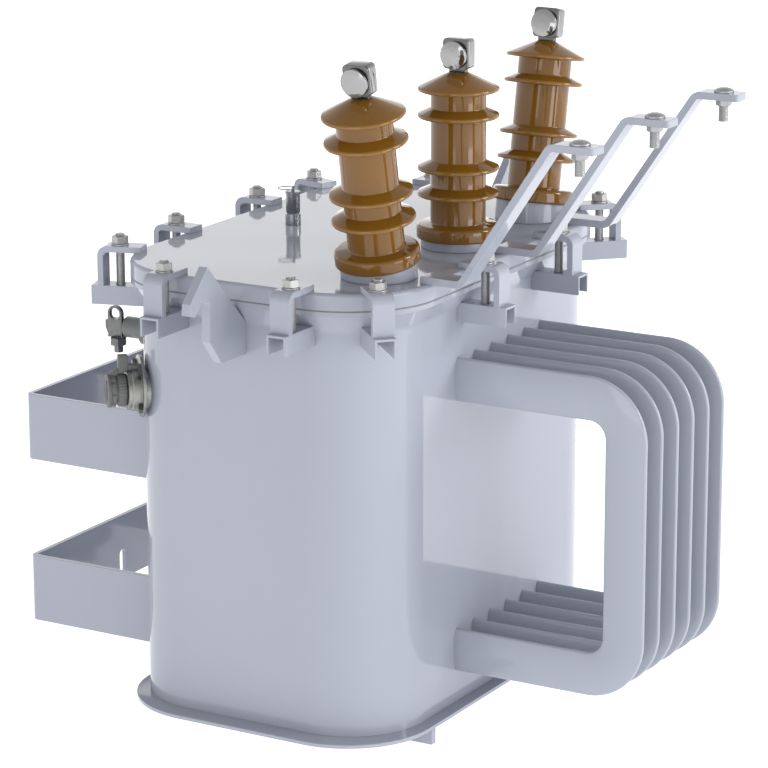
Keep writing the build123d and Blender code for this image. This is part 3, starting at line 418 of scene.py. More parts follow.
def enamel_finish(colours, details):
    """Glossy light grey enamel with a faint orange peel and a breath of dust."""
    finish = Finish(colours.enamel, 0.05)
    finish.shader.inputs["Specular Tint"].default_value = (0.89, 0.92, 1, 1)
    finish.round_edges(details.edge)
    finish.mottle(finish.shade(0.955), 0.7, levels=(0.35, 0.7), noise=(3, 4))
    dust = finish.shade(0.95, 0.94, 0.91)
    finish.mottle(dust, 0.3, levels=(0.52, 0.78), noise=(14, 6, 0.6, (1, 1, 0.12)))
    finish.vary_roughness(0.04, 0.09, noise=(9, 5, 0.6))
    finish.grain(details.peel, 0.5, noise=(260, 2, 0.4))
    return finish.material


def porcelain_finish(colours, details):
    """Brown glaze, thin and light at the rims and thick in the hollows."""
    finish = Finish(colours.glaze, 0.05, ior=1.52)
    thin = finish.tree.nodes.new("ShaderNodeAttribute")
    thin.attribute_name = "thin_glaze"
    finish.tint(thin.outputs["Fac"], tuple(colours.glaze_rim), 0.8)
    finish.mottle(finish.shade(0.85), 0.5, levels=(0.45, 0.75), noise=(22, 5, 0.6, (1, 1, 0.25)))
    finish.mottle(finish.shade(0.7), 0.2, levels=(0.62, 0.80), noise=(420, 3, 0.7))
    finish.vary_roughness(0.035, 0.07, noise=(50, 4))
    finish.grain(0.00006, 0.2, noise=(60, 2, 0.5, (1, 1, 0.5)))
    return finish.material


def zinc_finish(colours, details):
    """Zinc plate with a fine spangle and handling marks."""
    finish = Finish(colours.zinc, 0.35, metallic=0.75)
    finish.round_edges(0.0003)
    finish.tint(finish.span(finish.cells(900), 0.1, 0.7, 0, 1), finish.shade(0.88), 0.6)
    finish.mottle(finish.shade(0.78), 0.4, levels=(0.50, 0.75), noise=(120, 6, 0.65))
    finish.vary_roughness(0.28, 0.42, noise=(240, 4))
    finish.grain(0.00001, 0.4, noise=(1400, 3))
    return finish.material


def bolt_finish(colours, details):
    """Dull steel of bolt ends and shanks, with oil in the threads."""
    finish = Finish(colours.bolt, 0.35, metallic=0.7)
    finish.round_edges(0.0002)
    finish.mottle(finish.shade(0.8), 0.6, levels=(0.45, 0.75), noise=(160, 6, 0.65))
    finish.vary_roughness(0.28, 0.42, noise=(260, 4))
    finish.grain(0.00002, 0.4, noise=(1400, 3))
    return finish.material


def tin_finish(colours, details):
    """Tin plate over cast brass, satin with soft handling marks."""
    finish = Finish(colours.tin, 0.10, metallic=1.0)
    finish.round_edges(0.0004)
    finish.mottle(finish.shade(0.92), 0.6, noise=(90, 5, 0.6))
    finish.vary_roughness(0.07, 0.14, noise=(180, 4))
    finish.grain(0.000003, 0.4, noise=(900, 4, 0.6))
    return finish.material


def iron_finish(colours, details):
    """Dark plated iron, slightly pitted."""
    finish = Finish(colours.iron, 0.28, metallic=1.0)
    finish.round_edges(0.0004)
    finish.mottle(finish.shade(0.7), 0.6, noise=(140, 6, 0.65))
    finish.mottle(finish.shade(1.25), 0.4, levels=(0.52, 0.75), noise=(40, 4, 0.6))
    finish.vary_roughness(0.22, 0.38, noise=(200, 4))
    finish.grain(0.00003, 0.5, noise=(750, 4, 0.6))
    return finish.material


def brass_finish(colours, details):
    """Dark plated brass of the relief valve's cap and pin."""
    finish = Finish(colours.brass, 0.26, metallic=1.0)
    finish.round_edges(0.0003)
    finish.mottle(finish.shade(1.25), 0.5, noise=(160, 5, 0.6))
    finish.vary_roughness(0.20, 0.34, noise=(260, 4))
    finish.grain(0.00002, 0.4, noise=(1100, 3))
    return finish.material


def valve_body_finish(colours, details):
    """Lighter machined brass of the relief valve's body, with turning lines."""
    finish = Finish([c * 1.35 for c in colours.brass], 0.24, metallic=1.0)
    finish.round_edges(0.0003)
    finish.mottle(finish.shade(0.85), 0.6, noise=(90, 4, 0.6, (1, 1, 14)))
    finish.vary_roughness(0.18, 0.32, noise=(260, 4))
    finish.grain(0.00002, 0.4, noise=(220, 3, 0.5, (0.4, 0.4, 10)))
    return finish.material


def resin_finish(colours, details):
    """Dark grey cast resin, satin, with faint flow marks."""
    finish = Finish(colours.resin, 0.36, coat=0.2, coat_roughness=0.2)
    finish.round_edges(0.0006)
    finish.mottle(finish.shade(0.75), 0.6, noise=(50, 5, 0.6, (1, 0.3, 1)))
    finish.vary_roughness(0.28, 0.44, noise=(150, 4))
    finish.grain(0.00004, 0.4, noise=(600, 3))
    return finish.material


def casting_finish(colours, details):
    """Grey die-cast metal with a fine sand texture."""
    finish = Finish(colours.casting, 0.32, metallic=1.0)
    finish.round_edges(0.0006)
    finish.mottle(finish.shade(0.78), 0.6, levels=(0.40, 0.72), noise=(110, 6, 0.65))
    finish.vary_roughness(0.26, 0.42, noise=(220, 4))
    finish.grain(0.00004, 0.5, noise=(850, 4, 0.7))
    return finish.material


def knob_finish(colours, details):
    """Moulded dark grey knob with a matte grain."""
    finish = Finish(colours.knob, 0.48)
    finish.round_edges(0.0006)
    finish.mottle(finish.shade(0.72), 0.6, noise=(130, 5, 0.6))
    finish.vary_roughness(0.40, 0.58, noise=(300, 4))
    finish.bump(finish.cells(1300), 0.00005, 0.5)
    return finish.material


def rubber_finish(colours, details):
    """Grey nitrile sheet with a dusty bloom."""
    finish = Finish((0.16, 0.165, 0.17), 0.60)
    finish.mottle((0.21, 0.21, 0.21), 0.8, levels=(0.45, 0.75), noise=(60, 5, 0.6))
    finish.vary_roughness(0.50, 0.75, noise=(120, 4))
    finish.grain(0.00004, 0.6, noise=(1500, 3))
    return finish.material


def lamination_finish(colours, details):
    """Edges of oiled steel laminations, in thin level lines."""
    finish = Finish((0.16, 0.165, 0.17), 0.34, metallic=0.9)
    layers = finish.bands("Y", 450, 0.4).outputs["Fac"]
    finish.tint(layers, (0.06, 0.06, 0.062), 0.6)
    finish.vary_roughness(0.28, 0.45, noise=(40, 4))
    finish.bump(layers, 0.00008, 0.5)
    return finish.material


def paper_finish(colours, details):
    """Oil-soaked kraft paper in wound layers."""
    finish = Finish((0.33, 0.19, 0.075), 0.55)
    wave = finish.bands("Z", 60, 1.5)
    wave.inputs["Detail"].default_value = 3
    layers = wave.outputs["Fac"]
    finish.tint(layers, (0.20, 0.105, 0.04), 0.6)
    finish.mottle((0.42, 0.27, 0.12), 0.4, levels=(0.45, 0.7), noise=(300, 6, 0.7))
    finish.vary_roughness(0.42, 0.65, noise=(80, 4))
    finish.bump(layers, 0.0002, 0.4)
    return finish.material


def pressboard_finish(colours, details):
    """Oil-soaked pressboard of the tap switch."""
    finish = Finish((0.27, 0.15, 0.06), 0.5)
    fibres = (200, 8, 0.75, (1, 1, 4))
    finish.mottle((0.17, 0.09, 0.035), 0.6, levels=(0.42, 0.68), noise=fibres)
    finish.vary_roughness(0.40, 0.60, noise=(90, 4))
    finish.grain(0.00008, 0.5, noise=(900, 5, 0.7))
    return finish.material


FINISHES = {
    "tank_paint": enamel_finish,
    "porcelain": porcelain_finish,
    "zinc": zinc_finish,
    "bolt_steel": bolt_finish,
    "tinned_brass": tin_finish,
    "dark_metal": iron_finish,
    "valve_metal": brass_finish,
    "valve_body": valve_body_finish,
    "lv_resin": resin_finish,
    "tap_metal": casting_finish,
    "tap_knob": knob_finish,
    "gasket": rubber_finish,
    "core_steel": lamination_finish,
    "winding_paper": paper_finish,
    "lead_paper": paper_finish,
    "pressboard": pressboard_finish,
}


def finish_for(scene, slot):
    """Material of a slot of the record, made once."""
    maker = FINISHES[slot]
    made = bpy.data.materials.get(maker.__name__)
    if made is None:
        made = maker(scene.transformer_colours, scene.transformer_details)
        made.name = maker.__name__
    return made


# Forms


def rounded(corners, closed=False, step=15):
    """Outline through corners given as (x, y, radius), with an arc at each that has a radius."""
    path = []
    for i, (x, y, radius) in enumerate(corners):
        here = Vector((x, y))
        if radius == 0 or not closed and i in (0, len(corners) - 1):
            path.append(here)
            continue
        back = Vector(corners[i - 1][:2]) - here
        ahead = Vector(corners[(i + 1) % len(corners)][:2]) - here
        half = back.angle(ahead) / 2
        reach = min(radius / tan(half), 0.49 * back.length, 0.49 * ahead.length)
        inward = (back.normalized() + ahead.normalized()).normalized()
        middle = here + inward * (reach / cos(half))
        start = here + back.normalized() * reach - middle
        end = here + ahead.normalized() * reach - middle
        turn = (atan2(end.y, end.x) - atan2(start.y, start.x) + pi) % (2 * pi) - pi
        steps = max(2, ceil(abs(degrees(turn)) / step))
        for k in range(steps + 1):
            path.append(middle + Matrix.Rotation(turn * k / steps, 2) @ start)
    return path


def rectangle(low, high, radius, top_radius=None):
    """Outline of a rectangle with rounded corners, those at its top with their own radius."""
    top = radius if top_radius is None else top_radius
    corners = [
        (low[0], low[1], radius), (high[0], low[1], radius), (high[0], high[1], top),
        (low[0], high[1], top),
    ]
    return rounded(corners, closed=True)


def inset(outline, amount):
    """Closed outline, given counter-clockwise, moved inward."""
    moved = []
    for i, here in enumerate(outline):
        back = (here - outline[i - 1]).normalized()
        ahead = (outline[(i + 1) % len(outline)] - here).normalized()
        inward = Vector((-back.y - ahead.y, back.x + ahead.x)).normalized()
        share = max(0.3, inward.dot(Vector((-back.y, back.x))))
        moved.append(here + inward * (amount / share))
    return moved


def frame_of(origin, axis, across):
    """Place with Z along the axis and X as near as it can lie to the other direction."""
    z = Vector(axis).normalized()
    y = z.cross(Vector(across)).normalized()
    x = y.cross(z)
    return Matrix.Translation(origin) @ Matrix((x, y, z)).transposed().to_4x4()


class Form:
    """Surface under construction, in millimetres, with a value at each point for thin glaze."""

    def __init__(self):
        self.points = []
        self.values = []
        self.faces = []

    def row(self, points, value=0.0):
        """Adds a row of points and gives their numbers."""
        start = len(self.points)
        self.points.extend(Vector(point) for point in points)
        self.values.extend([value] * (len(self.points) - start))
        return list(range(start, len(self.points)))

    def skin(self, rows, loop=False):
        """Covers the space between neighbouring rows, then closes the ends or joins them."""
        for low, high in zip(rows, rows[1:] + rows[:1] if loop else rows[1:]):
            for i in range(len(low)):
                j = (i + 1) % len(low)
                self.faces.append((low[i], low[j], high[j], high[i]))
        if not loop:
            self.faces += [tuple(rows[0]), tuple(rows[-1])]
        return self

    def turn(self, levels, steps, loop=False, value=None, reach=None):
        """Turns levels of (radius, height) round the Z axis, closed at the ends or in a loop.

        The value may depend on radius and height, and the reach on the level and the angle.
        """
        angles = [2 * pi * k / steps for k in range(steps)]
        rows = []
        for level in levels:
            radius, height = level[:2]
            radii = [reach(level, a) for a in angles] if reach else [radius] * steps
            ring = [(r * cos(a), r * sin(a), height) for r, a in zip(radii, angles)]
            rows.append(self.row(ring, value(radius, height) if value else 0.0))
        return self.skin(rows, loop)

    def slab(self, outline, low, high, edge):
        """Plate with the outline, its edges rounded above and below."""
        rows = []
        for start, side in ((low, 1), (high, -1)):
            bend = []
            for k in range(4):
                angle = pi / 2 * k / 3
                height = start + side * edge * (1 - cos(angle))
                shape = inset(outline, edge * (1 - sin(angle)))
                bend.append([(p.x, p.y, height) for p in shape])
            rows.extend(self.row(points) for points in bend[::side])
        return self.skin(rows)

    def hexagon(self, flats, low, high, bore, steps=72):
        """Hexagon nut or head, its corners chamfered by a cone at both ends."""
        face = flats / 2
        slope = tan(radians(30))
        crown = face * 0.96
        angles = [2 * pi * k / steps for k in range(steps)]
        corner = [face / cos((a + pi / 6) % (pi / 3) - pi / 6) for a in angles]

        def circle(radius, height):
            return self.row([(radius * cos(a), radius * sin(a), height) for a in angles])

        def flank(start, side):
            rises = [start + side * (r - crown) * slope for r in corner]
            ring = [(r * cos(a), r * sin(a), z) for r, a, z in zip(corner, angles, rises)]
            return self.row(ring)

        rows = [circle(bore, low), circle(crown, low), flank(low, 1), flank(high, -1)]
        rows += [circle(crown, high), circle(bore + CHAMFER, high), circle(bore, high - CHAMFER)]
        return self.skin(rows, loop=True)

    def thread(self, radius, pitch, low, high, steps=20):
        """Threaded rod: one ridge that winds up it, with a chamfered upper end."""
        count = ceil((high - low) / pitch * LEVELS_PER_TURN)

        def ridge(level, angle):
            wave = abs(2 * ((level[1] / pitch - angle / (2 * pi)) % 1) - 1)
            return min(radius - THREAD_DEPTH * pitch * wave, radius - 0.9 + (high - level[1]))

        levels = [(radius, low + (high - low) * k / count) for k in range(count + 1)]
        return self.turn(levels, steps, reach=ridge)

    def add(self, other, place=Matrix.Identity(4)):
        """Takes over another form's surface at a place."""
        start = len(self.points)
        self.points.extend(place @ point for point in other.points)
        self.values.extend(other.values)
        self.faces.extend(tuple(i + start for i in face) for face in other.faces)
        return self

    def at(self, place):
        """The same form at a place."""
        return Form().add(self, place)

    def mesh(self, name):
        """Mesh in metres, smooth but for its sharp edges."""
        mesh = bpy.data.meshes.new(name)
        mesh.from_pydata([point * MM for point in self.points], [], self.faces)
        glaze = mesh.attributes.new("thin_glaze", "FLOAT", "POINT")
        glaze.data.foreach_set("value", self.values)
        work = bmesh.new()
        work.from_mesh(mesh)
        bmesh.ops.remove_doubles(work, verts=work.verts, dist=WELD)
        bmesh.ops.recalc_face_normals(work, faces=work.faces)
        work.to_mesh(mesh)
        work.free()
        mesh.shade_smooth()
        mesh.set_sharp_from_angle(angle=SHARP)
        return mesh


def turned(corners, steps, loop=False, step=15, value=None):
    """Form turned from a profile of (radius, height, rounding)."""
    return Form().turn(rounded(corners, loop, step), steps, loop, value)


def box_of(node):
    """Lowest and highest corner of a CAD node, in millimetres."""
    return [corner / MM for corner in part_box(node)]


def solids_of(node):
    """Separate solids of a CAD node, as (lowest corner, highest corner, middle) in millimetres."""
    work = bmesh.new()
    work.from_mesh(frame["nodes"][node].data)
    bmesh.ops.remove_doubles(work, verts=work.verts, dist=WELD)
    left = set(work.verts)
    boxes = []
    while left:
        stack = [left.pop()]
        low = stack[0].co.copy()
        high = low.copy()
        while stack:
            vertex = stack.pop()
            low = Vector(map(min, low, vertex.co))
            high = Vector(map(max, high, vertex.co))
            for edge in vertex.link_edges:
                other = edge.other_vert(vertex)
                if other in left:
                    left.remove(other)
                    stack.append(other)
        low, high = low / MM, high / MM
        boxes.append((low, high, (low + high) / 2))
    work.free()
    return sorted(boxes, key=lambda box: tuple(box[2]))


def rim_place(x, y, z):
    """Place beside the rim whose X points straight out from the tank."""
    out_x = max(0, abs(x) - CORNER_X) * (1 if x > 0 else -1)
    out_y = max(0, abs(y) - CORNER_Y) * (1 if y > 0 else -1)
    return frame_of((x, y, z), (0, 0, 1), (out_x, out_y, 0))


def bushing_place(side):
    """Foot of a high-voltage bushing, with Z along it and X along the row."""
    lean = radians(HV_LEAN * side)
    foot = (side * HV_PITCH, HV_Y, HV_FOOT + SEAT_RADIUS * abs(sin(lean)))
    return frame_of(foot, (sin(lean), 0, cos(lean)), (cos(lean), 0, -sin(lean)))


def add_piece(context, name, shape, slot, nodes=(), finish=None, body="transformer"):
    """Puts a form or a finished mesh into the scene as a piece that rides a body."""
    mesh = shape.mesh(name) if isinstance(shape, Form) else shape
    piece = bpy.data.objects.new(name, mesh)
    context.scene.collection.objects.link(piece)
    mesh.materials.clear()
    mesh.materials.append(finish_for(context.scene, finish or slot))
    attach(piece, body)
    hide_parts(*nodes)
    return piece


def softened(node, width, segments=2, growth=0.0):
    """Copy of a CAD node's mesh with its sharp edges rounded, its faces moved out by the growth."""
    mesh = frame["nodes"][node].data.copy()
    work = bmesh.new()
    work.from_mesh(mesh)
    bmesh.ops.remove_doubles(work, verts=work.verts, dist=2 * WELD)
    bmesh.ops.dissolve_limit(
        work, angle_limit=radians(0.5), verts=work.verts, edges=work.edges, delimit={"NORMAL"}
    )
    work.normal_update()
    shifts = [vertex.normal * vertex.calc_shell_factor() * growth for vertex in work.verts]
    for vertex, shift in zip(work.verts, shifts):
        vertex.co += shift
    work.to_mesh(mesh)
    work.free()
    mesh.shade_smooth()
    shaper = bpy.data.objects.new("shaper", mesh)
    bpy.context.scene.collection.objects.link(shaper)
    bevel = shaper.modifiers.new("edges", "BEVEL")
    bevel.width = width
    bevel.segments = segments
    bevel.limit_method = "ANGLE"
    bevel.angle_limit = SHARP
    bevel.use_clamp_overlap = True
    bent = shaper.evaluated_get(bpy.context.evaluated_depsgraph_get())
    shaped = bpy.data.meshes.new_from_object(bent)
    bpy.data.objects.remove(shaper)
    # The large faces rule the shading, so that flat plate looks flat up to its rounded edges
    pulls = [Vector() for _ in shaped.vertices]
    for face in shaped.polygons:
        for i in face.vertices:
            pulls[i] += face.normal * face.area**2
    shaped.normals_split_custom_set_from_vertices([pull.normalized() for pull in pulls])
    return shaped


# Operators


class TRANSFORMER_OT_finish_nodes(bpy.types.Operator):
    """Give every piece of the frame the finish of its material slot"""

    bl_idname = "transformer.finish_nodes"
    bl_label = "Finish the frame"

    def execute(self, context):
        for part in frame["record"]["subparts"]:
            node = frame["nodes"][part["node"]]
            node.data.materials.clear()
            node.data.materials.append(finish_for(context.scene, part["material_slot"]))
        return {"FINISHED"}


class TRANSFORMER_OT_plate_work(bpy.types.Operator):
    """Round the cut edges of clamps, channels, brackets, lugs, arms, rails, base plate and seats"""

    bl_idname = "transformer.plate_work"
    bl_label = "Plate work"

    def execute(self, context):
        edge = context.scene.transformer_details.edge
        for node, share in EDGE_SHARES.items():
            growth = BRACKET_GROWTH if node.startswith("pole_bracket") else 0.0
            mesh = softened(node, edge * share, growth=growth)
            add_piece(context, node + "_finished", mesh, "tank_paint", (node,))
        return {"FINISHED"}


class TRANSFORMER_OT_insulators(bpy.types.Operator):
    """Turn the three porcelain insulators with glazed, rounded sheds"""

    bl_idname = "transformer.insulators"
    bl_label = "Porcelain insulators"

    def execute(self, context):
        def rim_top(height, rise, inner):
            """Height of a shed's upright rim, above which it slopes up to its inner radius."""
            slope = (rise - 2 * SHED_EDGE) / (SHED_RADIUS - SHED_EDGE - inner)
            return height + SHED_EDGE * (2 - slope)

        def thin(radius, height):
            """Thinness of the glaze, which shows at the rims above the collar."""
            above = height > COLLAR_HEIGHT + 5
            return max(0.0, (radius - THIN_RADIUS) / THIN_WIDTH) if above else 0.0

        corners = [
            (STUD_BORE, -TAIL_LENGTH, 0),
            (TAIL_RADIUS, -TAIL_LENGTH, 3),
            (STEM_RADIUS, 0, 0),
            (COLLAR_RADIUS, 0, 2.4),
            (COLLAR_RADIUS, COLLAR_HEIGHT, 5),
            (NECK_RADIUS, COLLAR_HEIGHT + 1.7, 1.6),
        ]
        for height in SHED_HEIGHTS:
            corners += [
                (NECK_RADIUS, height, SHED_ROOT),
                (SHED_RADIUS, height, SHED_EDGE),
                (SHED_RADIUS, rim_top(height, SHED_RISE, NECK_RADIUS), SHED_EDGE),
                (NECK_RADIUS, height + SHED_RISE, SHED_ROOT),
            ]
        corners += [
            (NECK_RADIUS, CAP_HEIGHT, SHED_ROOT),
            (SHED_RADIUS, CAP_HEIGHT, SHED_EDGE),
            (SHED_RADIUS, rim_top(CAP_HEIGHT, CAP_TOP - CAP_HEIGHT, CAP_TOP_RADIUS), SHED_EDGE),
            (CAP_TOP_RADIUS, CAP_TOP, 2),
            (STUD_BORE, CAP_TOP, 0),
        ]
        turns = context.scene.transformer_details.turns
        form = turned(corners, turns, loop=True, step=20, value=thin)
        for number, side in enumerate((-1, 0, 1), start=1):
            add_piece(
                context, f"porcelain_{number}", form.at(bushing_place(side)), "porcelain",
                (f"hv_insulator_{number}",),
            )
        return {"FINISHED"}


class TRANSFORMER_OT_conductor_clamps(bpy.types.Operator):
    """Make the stud, block, pressure plate and round-headed bolt on each high-voltage bushing"""

    bl_idname = "transformer.conductor_clamps"
    bl_label = "Conductor clamps"

    def execute(self, context):
        steps = context.scene.transformer_details.turns
        half = BLOCK_WIDTH / 2
        tall = BLOCK_HEIGHT / 2
        outline = rectangle((-half, -tall), (half, tall), BLOCK_CORNER)
        facing = Matrix(((0, 0, 1, 0), (1, 0, 0, 0), (0, 1, 0, 0), (0, 0, 0, 1)))
        on_block = Matrix.Translation((0, 0, BLOCK_MIDDLE)) @ facing
        block = Form().slab(outline, BLOCK_FACE, BLOCK_FACE + BLOCK_THICKNESS, 0.9)
        plate = Form().slab(outline, BLOCK_FACE - PLATE_THICKNESS, BLOCK_FACE, 0.5)

        stud_top = CAP_TOP - 0.4
        profile = [(TIP, STUD_END, 0), (STUD_RADIUS, STUD_END, 0.8)]
        profile += [(STUD_RADIUS, stud_top, 0), (TIP, stud_top, 0)]
        stud = turned(profile, steps // 2)
        stud_neck = rectangle((-4, -12), (4, 12), 1)
        stud.add(Form().slab(stud_neck, CAP_TOP, BLOCK_MIDDLE - tall + BLOCK_CORNER, 0.6))

        head = turned(ROUND_HEAD, steps)
        on_plate = (BLOCK_FACE - PLATE_THICKNESS, 0, BLOCK_MIDDLE - HEAD_DROP)
        turned_out = Matrix.Translation(on_plate) @ Matrix.Rotation(radians(-90), 4, "Y")
        studs, plates, bolts = Form(), Form(), Form()
        for number, side in enumerate((-1, 0, 1), start=1):
            foot = bushing_place(side)
            add_piece(
                context, f"conductor_block_{number}", block.at(foot @ on_block), "tinned_brass",
                (f"hv_terminal_{number}",),
            )
            studs.add(stud, foot)
            plates.add(plate, foot @ on_block)
            bolts.add(head, foot @ turned_out)
        for name, form, nodes, finish in (
            ("conductor_studs", studs, (), "dark_metal"),
            # Painted shade: the pressure plates take the dark iron finish in place of the tin of
            # their slot, so that they look as dark as the shade and reflection under the bolt heads
            ("pressure_plates", plates, ("hv_pressure_plates",), "dark_metal"),
            ("round_head_bolts", bolts, ("hv_clamp_bolts",), "tinned_brass"),
        ):
            add_piece(context, name, form, "tinned_brass", nodes, finish)
        return {"FINISHED"}


class TRANSFORMER_OT_rim_fasteners(bpy.types.Operator):
    """Make the bolts, washers and nuts of the cover clamps"""

    bl_idname = "transformer.rim_fasteners"
    bl_label = "Rim fasteners"

    def execute(self, context):
        steps = context.scene.transformer_details.turns // 2
        bolts, nuts, washers = Form(), Form(), Form()
        for low, high, middle in solids_of("clamp_bolts"):
            bolt = Form().hexagon(M12_FLATS, 0, M12_HEAD, HEAD_BORE, 36)
            bolt.thread(M12_RADIUS, M12_PITCH, M12_HEAD - 0.2, high.z - low.z - 1.0)
            bolts.add(bolt, rim_place(middle.x, middle.y, low.z))
        for low, high, middle in solids_of("clamp_nuts"):
            nut = Form().hexagon(M12_FLATS, 0, high.z - low.z, M12_RADIUS + 0.05)
            nuts.add(nut, rim_place(middle.x, middle.y, low.z))
        for low, high, middle in solids_of("clamp_washers"):
            outer = (high.x - low.x) / 2 - 0.7
            thick = high.z - low.z
            profile = [(WASHER_BORE, 0, 0.2), (outer, 0, 0.2)]
            profile += [(outer, thick, 0.3), (WASHER_BORE, thick, 0.2)]
            washer = turned(profile, steps, loop=True, step=30)
            washers.add(washer, Matrix.Translation((middle.x, middle.y, low.z)))
        add_piece(context, "rim_bolts", bolts, "zinc", ("clamp_bolts",), "bolt_steel")
        add_piece(context, "rim_nuts", nuts, "zinc", ("clamp_nuts",))
        add_piece(context, "rim_washers", washers, "zinc", ("clamp_washers",), "bolt_steel")
        return {"FINISHED"}


class TRANSFORMER_OT_arrester_fasteners(bpy.types.Operator):
    """Make the round-headed bolts and the nuts of the surge-arrester arms"""

    bl_idname = "transformer.arrester_fasteners"
    bl_label = "Arrester fasteners"

    def execute(self, context):
        steps = context.scene.transformer_details.turns
        bolts, nuts = Form(), Form()
        for low, high, middle in solids_of("arrester_bolts"):
            radius = (high.x - low.x) / 2
            seat = high.z - ARM_BOLT_HEAD
            bolt = Form().thread(ARM_BOLT_RADIUS, ARM_BOLT_PITCH, low.z, seat + 0.5, 32)
            profile = [
                (TIP, seat, 0), (radius, seat, 0.4), (radius, seat + 2.5, 0.8),
                (radius - 3.5, seat + 4.6, 6), (radius - 8, seat + 6.1, 8), (TIP, high.z, 0),
            ]
            bolt.add(turned(profile, steps))
            bolts.add(bolt, Matrix.Translation((middle.x, middle.y, 0)))
        for low, high, middle in solids_of("arrester_nuts"):
            nut = Form().hexagon(ARM_NUT_FLATS, low.z, high.z, ARM_BOLT_RADIUS + 0.05)
            nuts.add(nut, rim_place(middle.x, middle.y, 0))
        add_piece(context, "arm_bolts", bolts, "zinc", ("arrester_bolts",), "bolt_steel")
        add_piece(context, "arm_nuts", nuts, "zinc", ("arrester_nuts",), "bolt_steel")
        return {"FINISHED"}


class TRANSFORMER_OT_relief_valve(bpy.types.Operator):
    """Make the pressure relief valve with its ribbed cap, pull pin and wire ring"""

    bl_idname = "transformer.relief_valve"
    bl_label = "Relief valve"

    def execute(self, context):
        steps = context.scene.transformer_details.turns
        body_low, body_high = box_of("relief_valve_body")
        cap_low, cap_high = box_of("relief_valve_cap")
        ring_low, ring_high = box_of("relief_valve_ring")
        middle = (cap_low + cap_high) / 2
        axis = Matrix.Translation((middle.x, middle.y, 0))
        cover_top = HV_FOOT - SEAT_HEIGHT
        body_top = body_high.z
        top = cap_high.z

        body = turned(
            [
                (TIP, body_low.z, 0), (VALVE_STEM, body_low.z, 0.5), (VALVE_STEM, cover_top, 0),
                (VALVE_RADIUS, cover_top, 0.3), (VALVE_RADIUS, body_top - 1.0, 0.5),
                (VALVE_GROOVE, body_top - 0.9, 0.2), (VALVE_GROOVE, body_top, 0),
                (TIP, body_top, 0),
            ],
            steps,
        )

        def ribbed(level, angle):
            return level[0] - level[2] * (1 - cos(VALVE_RIBS * angle))

        # Levels of the cap as (radius, height, depth of the ribs)
        levels = [(VALVE_BORE, top - 18, 0), (VALVE_BORE, top, 0), (9.6, top, 0)]
        levels += [(VALVE_RADIUS, top - 0.7, 0), (VALVE_RADIUS, top - 3.2, 0)]
        levels += [(9.3, top - 3.8, RIB_DEPTH), (9.3, cap_low.z + 1.2, RIB_DEPTH)]
        levels += [(8.6, cap_low.z, 0), (TIP, cap_low.z, 0)]
        cap = Form().turn(levels, steps * 2, reach=ribbed)

        # The pin is a straight pull with its eye end bent over
        root = Matrix.Translation((0, 0, top + 1))
        pin = turned(PIN, steps // 3).at(root)
        pin.add(turned(PIN_EYE, steps // 3), root @ Matrix.Rotation(radians(PIN_BEND), 4, "X"))

        radius = (ring_high.x - ring_low.x) / 2 - 0.2
        round_wire = [2 * pi * k / 12 for k in range(12)]
        gauge = [(radius + RING_WIRE * cos(a), RING_WIRE * sin(a)) for a in round_wire]
        wire = Form().turn(gauge, steps, loop=True)
        ring_place = Matrix.Translation((ring_low + ring_high) / 2)

        for name, form, finish, body_name in (
            ("body", body.at(axis), "valve_body", "transformer"),
            ("cap", cap.at(axis), "valve_metal", "transformer"),
            ("pin", pin.at(axis), "valve_metal", "valve_pull"),
            ("ring", wire.at(ring_place), "bolt_steel", "valve_pull"),
        ):
            nodes = (f"relief_valve_{name}",)
            add_piece(context, f"valve_{name}", form, "valve_metal", nodes, finish, body_name)
        return {"FINISHED"}


class TRANSFORMER_OT_low_voltage(bpy.types.Operator):
    """Make the low-voltage bushings with their saddles, eye bolts and nuts"""

    bl_idname = "transformer.low_voltage"
    bl_label = "Low-voltage bushings"

    def execute(self, context):
        steps = context.scene.transformer_details.turns
        for number in (1, 2, 3, 4):
            node = f"lv_insulator_{number}"
            low, high = box_of(node)
            middle = (low + high) / 2
            wall = high.y - LV_LENGTH
            inside = ((LV_BORE, low.y - wall, 0), (LV_TAIL_RADIUS, low.y - wall, 1))
            form = turned(inside + LV_OUTSIDE, steps, loop=True, step=20)
            out = frame_of((middle.x, wall, middle.z), (0, 1, 0), (1, 0, 0))
            add_piece(context, f"resin_bushing_{number}", form.at(out), "lv_resin", (node,))

        # The free end of each eye bolt shifts with its nut, towards the middle of its saddle
        shift = Vector((*EYE_SHIFT, 0)) * MM
        rise = Vector((0, 0, EYE_RISE)) * MM
        for node, width in (("lv_terminals", 0.0007), ("lv_eye_bolts", 0.0009)):
            mesh = softened(node, width, 3)
            for _, high, middle in solids_of("lv_nuts") if node == "lv_eye_bolts" else ():
                axis = middle * MM
                for point in mesh.vertices:
                    beside = (point.co.xy - axis.xy).length < EYE_STUD_REACH * MM
                    if beside and point.co.z < (high.z + 0.5) * MM:
                        point.co += shift + rise if point.co.z < axis.z else shift
            add_piece(context, node + "_finished", mesh, "dark_metal", (node,))
        nuts = Form()
        for low, high, middle in solids_of("lv_nuts"):
            nut = Form().hexagon(M12_FLATS + 0.8, low.z + EYE_RISE / 2, high.z, 6.2)
            place = Matrix.Translation((middle.x + EYE_SHIFT[0], middle.y + EYE_SHIFT[1], 0))
            nuts.add(nut, place)
        add_piece(context, "terminal_nuts", nuts, "dark_metal", ("lv_nuts",))
        return {"FINISHED"}


